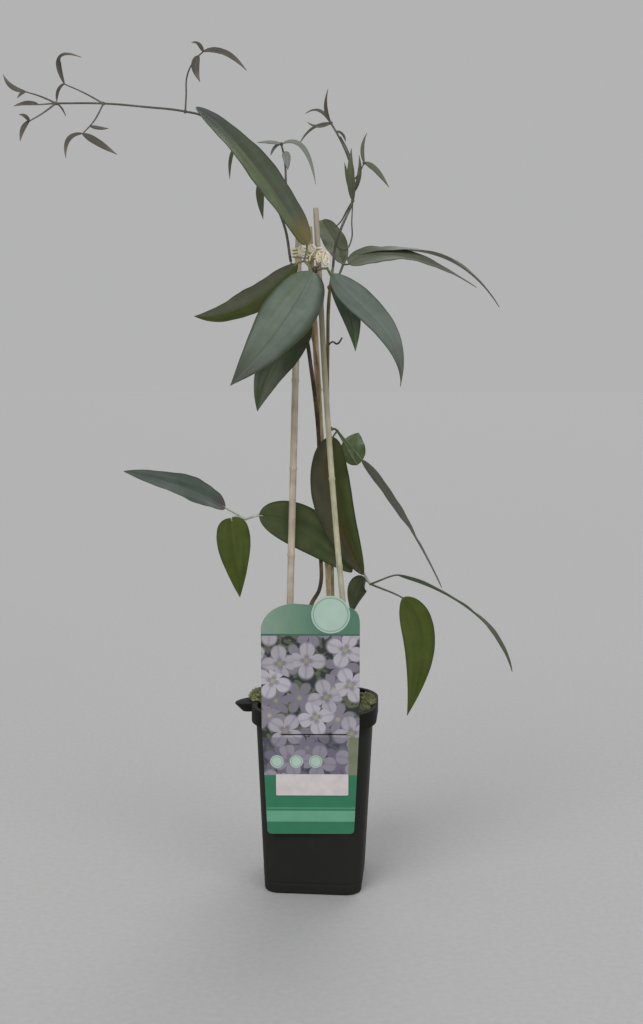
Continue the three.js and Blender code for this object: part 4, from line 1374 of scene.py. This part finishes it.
@dataclass
class Blade:
    """One leaf blade, from the end of its stalk to its tip."""

    base: Point
    bend: Point
    tip: Point
    width: float
    face: Point = (0, -0.8, 0.6)  # the way its upper side looks
    tone: Tone = Tone.GREEN
    turn: tuple[float, float] = (0, 0)  # how far the face rolls at base and tip, in degrees
    hook: float = 0  # how far the blade swings sideways on the way to its tip
    fold: float = 0.16  # how steeply the halves rise from the midrib
    wave: float = 0.07  # how high the margins wave, as a share of the half-width
    waves: float = 2.2  # how many waves
    widest: float = 0.38  # where it is widest, as a share of its length
    round: float = 0.62  # how its base opens, rounder for less
    rows: int = 52
    columns: int = 20
    thickness: float = 0.7
    ends: tuple[float, float] = (0.9, 0.3)  # half-width at the base and at the tip

    def midrib(self, t: float) -> tuple[Vector, Vector]:
        """The midrib's point and direction at a share of its run."""
        a, b, c = Vector(self.base), Vector(self.bend), Vector(self.tip)
        point = a * (1 - t) ** 2 + b * 2 * t * (1 - t) + c * t * t
        return point, ((b - a) * (1 - t) + (c - b) * t).normalized()

    def half_width(self, t: float) -> float:
        """Half the blade's width: a rounded base, then a long taper to a drawn-out tip."""
        taper = self.round * (1 - self.widest) / self.widest
        share = (t / self.widest) ** self.round * (max(0, 1 - t) / (1 - self.widest)) ** taper
        return math.hypot(self.width / 2 * share, lerp(*self.ends, t))

    def surface(self, s: float, t: float) -> Vector:
        """The middle of the blade's thickness.

        Args:
            s: From -1 at one margin to 1 at the other.
            t: From 0 at the base to 1 at the tip.

        Returns:
            The point in millimetres.
        """
        point, along = self.midrib(t)
        face = Vector(self.face)
        normal = (face - along * face.dot(along)).normalized()
        normal.rotate(Quaternion(along, math.radians(lerp(*self.turn, t))))
        side = along.cross(normal)
        point += side * self.hook * HOOK_RISE * t * t * (1 - t)
        half = self.half_width(t)
        sign = (s > 0) - (s < 0)
        turns = 2 * math.pi * self.waves * t
        ripple = self.wave * math.sin(turns + sign) * s * s
        # Smaller crinkles on the margin, a soft buckle all over, and the sunken veins.
        crinkle = 0.018 * math.sin(3.1 * turns + 2.3 * sign) * abs(s) ** 3
        buckle = 0.045 * noise.noise(Vector((s * 1.3, t * 5.0, self.width)))
        rise = half * (self.fold * abs(s) + ripple + crinkle + buckle * min(1, abs(s) * 3))
        for vein, breadth, depth in ((0, 1.1, 0.32), (0.5, 0.9, 0.08)):
            away = (abs(s) - vein) * half / breadth
            rise -= min(1, half / 8) * depth * math.exp(-(away**2))
        return point + side * half * s * (1 - self.fold / 3) + normal * rise

    def build(self) -> Shape:
        """Shapes the blade from a grid and gives it its thickness and its two skins."""
        shape = primitive(
            bpy.ops.mesh.primitive_grid_add, x_subdivisions=self.columns,
            y_subdivisions=self.rows, size=1, calc_uvs=True,
        )
        chart = []
        for vertex in shape.data.vertices:
            s, t = 2 * vertex.co.x, (1 - math.cos(math.pi * (vertex.co.y + 0.5))) / 2
            chart.append((0.5 + s / 2, t))
            vertex.co = metres(self.surface(s, t))
        for loop in shape.data.loops:
            shape.data.uv_layers[0].data[loop.index].uv = chart[loop.vertex_index]
        skin = self.tone.value
        skin.dress(shape)
        (skin.under or skin).dress(shape)
        apply_modifier(
            shape, "SOLIDIFY", thickness=self.thickness * MM, offset=0.0, material_offset=1,
            material_offset_rim=1,
        )
        bpy.ops.object.shade_smooth_by_angle(angle=math.radians(50))
        return shape


@dataclass
class CompoundLeaf:
    """A leaf in threes: a stalk from the stem to a joint, and a short stalk into each blade."""

    name: str
    stalk: Sequence[Point]
    blades: Sequence[Blade]
    slot: Slot
    stalk_skin: Finish = GREEN_STALK
    side_skin: Finish = GREEN_STALK  # of the blades' own stalks
    stalk_radii: tuple[float, float, float] = (1.5, 1.1, 1.3)  # foot, middle and joint
    side_radii: tuple[float, float, float] = (1.1, 0.85, 0.35)  # joint, base and inside the blade
    sunk: float = 4  # how far a side stalk runs into its blade

    def build(self) -> None:
        """Makes the blades and the stalks, and puts the blades in place of the leaf's solid."""
        blades = joined("blades", [blade.build() for blade in self.blades])
        place(blades, f"{self.name}_blades", self.slot, self.name)
        joint = self.stalk[-1]
        foot, middle, head = self.stalk_radii
        stalk = tube(self.stalk, [foot] + [middle] * (len(self.stalk) - 2) + [head])
        self.stalk_skin.dress(stalk)
        parts = [knob(joint, (foot, foot, foot))]
        for blade in self.blades:
            base = Vector(blade.base)
            into = base + (Vector(blade.bend) - base).normalized() * self.sunk
            parts.append(tube([joint, base, into], self.side_radii))
        self.side_skin.dress(*parts)
        place(joined("stalks", [stalk, *parts]), f"{self.name}_stalks", self.slot)


@dataclass
class YoungShoot:
    """A thin new shoot: stem, side stalks, swollen nodes and small folded leaflets."""

    name: str
    stem: Sequence[Point]
    stalks: Sequence[Sequence[Point]]
    nodes: Sequence[Point]
    leaflets: Sequence[tuple[Point, Point, Point, float]]
    tone: Tone
    tip_from: float = 2000  # leaflets that start above this height are bronze

    def build(self) -> None:
        """Makes the shoot and puts it in place of its solid."""
        parts = []
        # The stem and its side stalks, each with its radii at the foot and at the end.
        for route, thick, thin, sides in (
            (self.stem, 1.35, 0.95, 3), *((stalk, 0.9, 0.6, 2) for stalk in self.stalks)
        ):
            radii = [lerp(thick, thin, i / (len(route) - 1)) for i in range(len(route))]
            parts.append(tube(route, radii, sides=sides))
        parts += [knob(centre, (1.8, 1.8, 1.8), 0.3) for centre in self.nodes]
        YOUNG_STALK.dress(*parts)
        for base, bend, tip, width in self.leaflets:
            leaflet = Blade(
                base, bend, tip, width, tone=Tone.BRONZE if base[2] > self.tip_from else self.tone,
                fold=0.3, wave=0.03, rows=22, columns=8, thickness=0.5, ends=(0.55, 0.2),
            )
            parts.append(leaflet.build())
        place(joined(self.name, parts), f"{self.name}_growth", Slot.YOUNG, self.name)


# The label --------------------------------------------------------------------------------------


@dataclass
class PlantLabel:
    """The printed card that hangs from the rim, its hook and its sticker."""

    top_width: float = 95
    bottom_width: float = 86
    height: float = 236
    taper_height: float = 112
    thickness: float = 0.9
    reach: float = 55.4
    bottom: float = 66
    tilt: float = math.radians(5.2)
    yaw: float = math.radians(4.5)
    emblem: tuple[float, float] = (19.5, 225)
    emblem_radius: float = 18.5
    slit: tuple[float, float] = (3, 103.9)
    slit_size: tuple[float, float] = (64, 1.4)
    sticker: tuple[float, float] = (1.5, 52)
    sticker_size: tuple[float, float] = (71, 22)
    hook_top: float = 187.3
    hook_half: float = 15
    hook_depth: float = 11
    hook_inner: float = -54.3  # where its inner leg stands, inside the rim

    @property
    def seat(self) -> Matrix:
        """The move that sets the card's flat frame on the pot, in metres."""
        move = Matrix.Translation(metres((0, -self.reach, self.bottom)))
        return move @ Matrix.Rotation(self.yaw, 4, "Z")

    @property
    def lean(self) -> Matrix:
        """The turn that stands the flat card up to its lean."""
        return Matrix.Rotation(math.pi / 2 + self.tilt, 4, "X")

    def outline(self, z: float) -> list[Point]:
        """The card's edge in its flat frame, at a height out of its face."""
        b, t, h = self.bottom_width / 2, self.top_width / 2, self.height
        edge = bent((b - 5, 0), (b, 0), (b, 5), 6)
        edge += [(b, 5), (t, self.taper_height)]
        edge += bent((t, h - 20), (t, h - 4), (t - 14, h - 4), 12)
        edge += [(t - 14, h - 4)]
        edge += bent((30 - t, h), (4 - t, h - 4), (-t, h - 24), 12)
        edge += [(-t, h - 24), (-t, self.taper_height)]
        edge += bent((-b, 5), (-b, 0), (5 - b, 0), 6)
        edge += [(5 - b, 0)]
        return [(x, y, z) for x, y in edge]

    def build(self) -> None:
        """Makes the label and its sticker and puts them in place of their solids."""
        card = loft([self.outline(0), self.outline(self.thickness)])
        emblem = primitive(
            bpy.ops.mesh.primitive_cylinder_add, vertices=96, radius=self.emblem_radius * MM,
            depth=self.thickness * MM, location=metres((*self.emblem, self.thickness / 2)),
        )
        combine(card, emblem, "UNION")
        slit = primitive(
            bpy.ops.mesh.primitive_cube_add, size=MM, location=metres((*self.slit, 0)),
            scale=(*self.slit_size, 6),
        )
        combine(card, slit, "DIFFERENCE")
        apply_modifier(card, "BEVEL", width=0.18 * MM, segments=2, limit_method="ANGLE")
        card.data.transform(self.lean)
        hook = self.hook()
        for shape in (card, hook):
            clean(shape, 40)
            shape.data.materials.clear()
            shape.data.transform(self.seat)
        turn = (math.pi / 2 + self.tilt, 0, self.yaw)
        PrintedCard(turn, (0, -self.reach * MM, self.bottom * MM)).dress(card, hook)
        place(joined("card", [card, hook]), "printed_label", Slot.CARD, "plant_label")
        sticker = loft(
            [
                rounded_ring(self.sticker_size, 1.2, z, steps=4, middle=self.sticker)
                for z in (1.2, 1.55, 1.8)
            ]
        )
        sticker.data.transform(self.seat @ self.lean)
        clean(sticker, 40)
        STICKER_PAPER.dress(sticker)
        place(sticker, "price_sticker", Slot.PAPER, "label_sticker")

    def hook(self) -> Shape:
        """The strap over the rim, in the label's upright frame."""
        over = self.hook_top - self.bottom
        outer = -over * math.tan(self.tilt) - 0.4
        inner = self.reach + self.hook_inner
        profile = (
            (outer, over), (inner, over), (inner, over - self.hook_depth),
            (inner + 1, over - self.hook_depth), (inner + 1, over + 1), (outer, over + 1),
        )
        strap = loft([[(x, y, z) for y, z in profile] for x in (-self.hook_half, self.hook_half)])
        apply_modifier(strap, "BEVEL", width=0.35 * MM, segments=3, limit_method="ANGLE")
        return strap


# Studio -----------------------------------------------------------------------------------------

SUNS = (  # name, place, spread in degrees, strength
    ("key", (-0.9, -1.7, 1.85), 35, 1.16), ("fill", (1.6, -1.5, 0.8), 38, 0.7),
    ("back", (0.3, 1.6, 1.7), 40, 0.9),
)


@dataclass
class Studio:
    """The pale floor, the soft lights and the camera."""

    camera_place: Point = (113.8, -1234.8, 512)
    pitch: float = 83.95
    yaw: float = 5
    lens: float = 43.45
    floor: float = 120  # metres across, so that its far edge lies at the horizon
    air: str = "#b3b3b4"

    def build(self) -> None:
        """Sets the stage."""
        floor = primitive(bpy.ops.mesh.primitive_plane_add, size=self.floor)
        floor.name = "floor"
        FLOOR_BOARD.dress(floor)
        world = bpy.data.worlds.new("studio_air")
        bpy.context.scene.world = world
        world.use_nodes = True
        sky = world.node_tree.nodes["Background"]
        sky.inputs["Color"].default_value = linear(self.air)
        sky.inputs["Strength"].default_value = 1.0
        for name, spot, spread, strength in SUNS:
            bpy.ops.object.light_add(type="SUN", location=spot)
            light = bpy.context.object
            light.name = name
            light.data.angle = math.radians(spread)
            light.data.energy = strength
            light.rotation_euler = Vector(spot).to_track_quat("Z", "Y").to_euler()
        turn = (math.radians(self.pitch), 0, math.radians(self.yaw))
        bpy.ops.object.camera_add(location=metres(self.camera_place), rotation=turn)
        camera = bpy.context.object
        camera.data.lens = self.lens
        camera.data.sensor_width = 36
        bpy.context.scene.camera = camera
        bpy.context.scene.view_settings.view_transform = "Standard"


# The plant --------------------------------------------------------------------------------------

MAIN_ROUTE = (
    (-11, 7, 150), (-11, 7, 185), (-11, 8, 247), (-6, 10, 283), (3, 11, 301), (4, 12, 335),
    (3, 13, 391), (2, 11, 453), (-1, 7, 493), (-6, 0, 535), (-9, -7, 567), (-6, -13, 596),
    (0, -14, 622),
)
BRANCH_ROUTE = (
    (2, 11, 455), (3, 11, 493), (1, 9.4, 528), (-9, 9, 573), (-19, 9, 602), (-25, 4, 629)
)
SECOND_ROUTE = (
    (17, 16, 150), (17, 16, 183), (17, 16, 246), (16, 15, 299), (15, 15, 340), (13, 15, 391),
    (12, 13, 442), (11, 11, 493), (11, 13, 543), (12, 14, 593), (16, 13, 624),
)
DRIED_TENDRIL = ((11, 13, 547), (16, 10, 551), (21, 7, 549), (26, 6, 555))

LEAVES = (
    CompoundLeaf(
        "leaf_upper_left", ((-2, -16.1, 621.6), (-6, -20, 626), (-9, -22, 628)),
        (
            Blade(
                (-7, -20, 644), (-51, -45, 724), (-114, -22, 775), 35, (0.35, -0.75, 0.55),
                Tone.TWO_GREENS, fold=0.28, round=0.38,
            ),
            Blade(
                (-16, -25, 625), (-60, -64, 568), (-109, -68, 573), 33, (-0.25, -0.85, 0.45),
                Tone.DARK_EDGED,
            ),
            Blade(
                (-1, -28, 617), (-16, -81, 566), (-69, -106, 508), 53, (0.05, -0.95, 0.3),
                Tone.WAXY, fold=0.12,
            ),
        ),
        Slot.LEAF,
    ),
    CompoundLeaf(
        "leaf_upper_low", ((-8.2, -10.5, 567), (-6, -13, 568), (-4, -15, 569.5)),
        (
            Blade(
                (-3, -17, 568), (-44, -33, 535), (-52, -50, 483), 38, (-0.1, -0.95, 0.1),
                Tone.DARK_GREEN,
            ),
        ),
        Slot.LEAF,
    ),
    CompoundLeaf(
        "leaf_upper_right", ((3.3, -14.8, 620), (8, -16.5, 621), (13, -18, 621)),
        (
            Blade(
                (18, -24, 615), (57, -38, 567), (86, -67, 507), 31, (0.2, -0.9, 0.4), Tone.GREY,
                hook=-13, wave=0.05, widest=0.32,
            ),
            Blade((17, -17, 613), (39, -6, 588), (41, -24, 541), 23, (0.1, -0.95, 0.1), Tone.SHADED),
        ),
        Slot.LEAF,
    ),
    CompoundLeaf(
        "leaf_upper_back", ((15.9, 15, 606), (22, 18, 618), (26, 18, 628)),
        (
            Blade(
                (32, 15, 628), (81, 38, 657), (160, 54, 607), 31, (0.1, -0.5, 0.85),
                Tone.GREY_GREEN, turn=(10, -16), fold=0.1, widest=0.3, round=0.42,
            ),
            Blade(
                (30, 24, 635), (133, 76, 669), (185, 86, 589), 27, (0, -0.14, 1), Tone.GREY_GREEN,
                turn=(0, 12),
            ),
            Blade(
                (24, 24, 630), (17, 56, 654), (-2, 86, 680), 26, (0.1, -0.75, 0.6), Tone.DRAB,
                widest=0.56, round=0.5,
            ),
        ),
        Slot.LEAF,
    ),
    CompoundLeaf(
        "leaf_middle_left",
        ((-0.2, 12.8, 362), (-12, 14, 369), (-25, 14, 376), (-48, 10, 379), (-71, -2, 373)),
        (
            Blade(
                (-58, 3, 376), (-5, 8, 374), (36, 9, 318), 45, (-0.05, -1, 0.08), Tone.DEEP,
                fold=0.08, wave=0.03, widest=0.42, round=0.5,
            ),
            Blade(
                (-91, -8, 385), (-112, -31, 407), (-185, -46, 424), 32, (0.1, -0.66, 0.72),
                Tone.BLUE_GREY, widest=0.42,
            ),
            Blade(
                (-84, -11, 375), (-78, -30, 345), (-73, -32, 298), 36, (0, -1, 0.1), Tone.OLIVE,
                widest=0.3, round=0.42,
            ),
        ),
        Slot.OLD_LEAF, PALE_LIT_STALK, PALE_LIT_STALK,
    ),
    CompoundLeaf(
        "leaf_middle_right", ((14.3, 11.6, 463), (18, 10, 464), (21, 9, 462)),
        (
            Blade(
                (17, 5, 456), (3, 2, 396), (48, 6, 316), 43, (-0.1, -1, 0.05), Tone.BROWNED,
                widest=0.42, round=0.5,
            ),
            Blade(
                (41, 10, 428), (31, 28, 446), (40, 52, 458), 26, (0, -0.9, 0.5), Tone.GREEN,
                fold=0.1, round=0.5,
            ),
            Blade(
                (46, 7, 433), (94, 5, 374), (127, -23, 309), 22, (0.83, 0.08, 0.54), Tone.DULL,
                turn=(-38, 16), fold=0.1,
            ),
        ),
        Slot.OLD_LEAF,
    ),
    CompoundLeaf(
        "leaf_lower_right", ((18, 15.2, 335), (36, 16, 330), (55, 11, 306)),
        (
            Blade(
                (83, 3, 317), (181, -4, 289), (197, -27, 227), 20, (0.58, 0.06, 0.81), Tone.DRAB,
                turn=(-24, 22), fold=0.12,
            ),
            Blade((88, 6, 293), (119, -6, 262), (94, -26, 180), 35, (0.15, -0.97, 0.15), Tone.OLIVE),
            Blade((50, 14, 309), (38, 21, 306), (35, 29, 271), 21, (0.2, -0.9, 0.4), Tone.DRAB),
        ),
        Slot.OLD_LEAF, PALE_LIT_STALK, YOUNG_STALK,
    ),
)

# Joints and ends of the young shoots, from which several stalks or leaflets grow.
LEFT_BEND, LEFT_FORK, LEFT_END = (-129, 1, 776), (-206, -18, 781), (-249, -32, 779)
RAISED_STALK, LOW_STALK, FAR_STALK = (-108, -13, 829), (-222, -37, 749), (-281, -25, 792)
HIGH_STALK, OUTER_STALK = (-248, -6, 803), (-270, -50, 759)
YOUNG_END = (-35, 11, 745)
RIGHT_BEND, RIGHT_KNEE = (36, 9, 689), (37, 9, 709)
RIGHT_END, RIGHT_STALK = (15, -1, 762), (47, 12, 726)

SHOOTS = (
    YoungShoot(
        "shoot_left",
        (
            (-25.1, 3.9, 629.4), (-32, 1, 667), (-54, 3, 709), (-80, 3, 742), (-111, 2, 771),
            LEFT_BEND, (-167, -9, 779), LEFT_FORK, LEFT_END,
        ),
        (
            (LEFT_BEND, (-128, 1, 791), (-126, -3, 809), (-117, -8, 823), RAISED_STALK),
            (LEFT_FORK, (-227, -12, 793), HIGH_STALK),
            (LEFT_FORK, (-213, -29, 762), LOW_STALK),
            (LEFT_END, (-266, -27, 787), FAR_STALK),
            (LEFT_END, (-265, -37, 777)),
            (LEFT_END, (-260, -43, 767), OUTER_STALK),
        ),
        (LEFT_BEND, LEFT_FORK, LEFT_END),
        (
            ((-113, -10, 826), (-119, -16, 815), (-110, -20, 799), 9),
            (RAISED_STALK, (-86, -10, 834), (-68, 2, 814), 9),
            (RAISED_STALK, (-112, -16, 838), (-118, -20, 836), 5),
            (HIGH_STALK, (-263, -10, 840), (-227, -18, 825), 6),
            (HIGH_STALK, (-257, -2, 799), (-259, 3, 788), 6),
            ((-216, -32, 757), (-206, -33, 753), (-197, -35, 754), 5),
            (LOW_STALK, (-239, -45, 747), (-235, -51, 724), 6),
            (LOW_STALK, (-207, -38, 739), (-190, -31, 730), 9),
            (FAR_STALK, (-299, -20, 794), (-306, -17, 811), 6),
            (FAR_STALK, (-285, -28, 790), (-288, -30, 785), 4),
            ((-265, -37, 777), (-275, -42, 778), (-286, -47, 774), 7),
            (OUTER_STALK, (-277, -52, 753), (-277, -58, 739), 6),
            (OUTER_STALK, (-273, -54, 764), (-278, -56, 764), 5),
            (LEFT_END, (-246, -26, 777), (-244, -17, 770), 5),
            ((-54, 3, 709), (-57, 0, 695), (-52, 0, 671), 9),
            ((-80, 3, 742), (-86, -2, 730), (-84, -6, 709), 4),
        ),
        Tone.YOUNG, 745,
    ),
    YoungShoot(
        "shoot_young",
        ((-32.6, 4, 670), (-31, 11, 691), (-31, 13, 711), (-32, 13, 730), YOUNG_END),
        (), (YOUNG_END,),
        (
            (YOUNG_END, (-47, 14, 748), (-60, 17, 748), 5),
            (YOUNG_END, (-8, 4, 755), (0, 0, 704), 6),
            ((-32, 13, 738), (-29, 9, 732), (-28, 6, 719), 9),
            (YOUNG_END, (-43, 17, 744), (-47, 20, 736), 6),
        ),
        Tone.PALE_YOUNG,
    ),
    YoungShoot(
        "shoot_right",
        (
            (16.1, 13, 624.4), (19, 8, 646), (25, 4, 662), (30, 7, 674), RIGHT_BEND,
            RIGHT_KNEE, (33, 6, 726), (27, 2, 741), (20, 0, 754), RIGHT_END,
        ),
        (
            ((19, 8, 646), (28, 13, 642), (34, 13, 650), (35, 10, 670), RIGHT_BEND),
            (RIGHT_KNEE, (42, 12, 716), RIGHT_STALK),
            (RIGHT_KNEE, (36, 8, 722), (31, 5, 737), (24, 4, 750)),
            (RIGHT_BEND, (30, 16, 681), (23, 30, 672), (17, 40, 668)),
        ),
        (RIGHT_BEND, RIGHT_STALK, RIGHT_END),
        (
            (RIGHT_BEND, (33, -3, 711), (35, 1, 738), 8),
            ((36, 9, 693), (30, 19, 711), (27, 20, 728), 5),
            ((37, 9, 697), (45, 14, 714), (42, 10, 733), 5),
            (RIGHT_STALK, (58, 9, 722), (72, 0, 700), 7),
            (RIGHT_STALK, (42, 16, 741), (49, 20, 756), 4),
            (RIGHT_END, (7, -7, 773), (13, -11, 792), 4),
            (RIGHT_END, (1, -10, 753), (-6, -17, 760), 5),
            (RIGHT_END, (-6, 6, 763), (-17, 11, 745), 4),
            (RIGHT_END, (4, 4, 782), (-11, 11, 774), 4),
            ((20, 0, 754), (27, 4, 754), (29, 9, 746), 4),
        ),
        Tone.YOUNG, 753,
    ),
)


def main() -> None:
    """Builds the plant piece by piece and sets the studio round it."""
    logging.basicConfig(level=logging.INFO, format="%(name)s %(message)s")
    pot = NurseryPot()
    pot.build()
    SoilAndMoss(pot).build()
    canes = [
        Cane("left", (-29, -2, 180), (-16, -2, 672), 3.7, 3.3, PINK_BAMBOO),
        Cane("right", (42, -26, 172), (-1, -1, 681), 3, 2.7, GREEN_BAMBOO, bow=-4),
        Cane("back", (17, 42, 172), (-7, 5, 664), 3.5, 3.1, BAMBOO),
    ]
    for cane in canes:
        cane.build()
    Twine(canes).build()
    WoodyStem(
        "main_stem", "stem_main", ((MAIN_ROUTE, 2.1, BARK), (BRANCH_ROUTE, 1.3, TWIG_BARK)),
        (((0, -14, 620), 2.9), ((-9, -7, 567), 2.9), ((3, 12.5, 361), 2.9)),
    ).build()
    WoodyStem(
        "second_stem", "stem_second", ((SECOND_ROUTE, 1.7, OLIVE_BARK), (DRIED_TENDRIL, 0.9, BARK)),
        (((13, 14, 605), 2.5), ((11.5, 12, 463), 2.5), ((15, 15, 335), 2.5)),
    ).build()
    for leaf in LEAVES:
        leaf.build()
    for shoot in SHOOTS:
        shoot.build()
    PlantLabel().build()
    Studio().build()


if __name__ == "__main__":
    main()
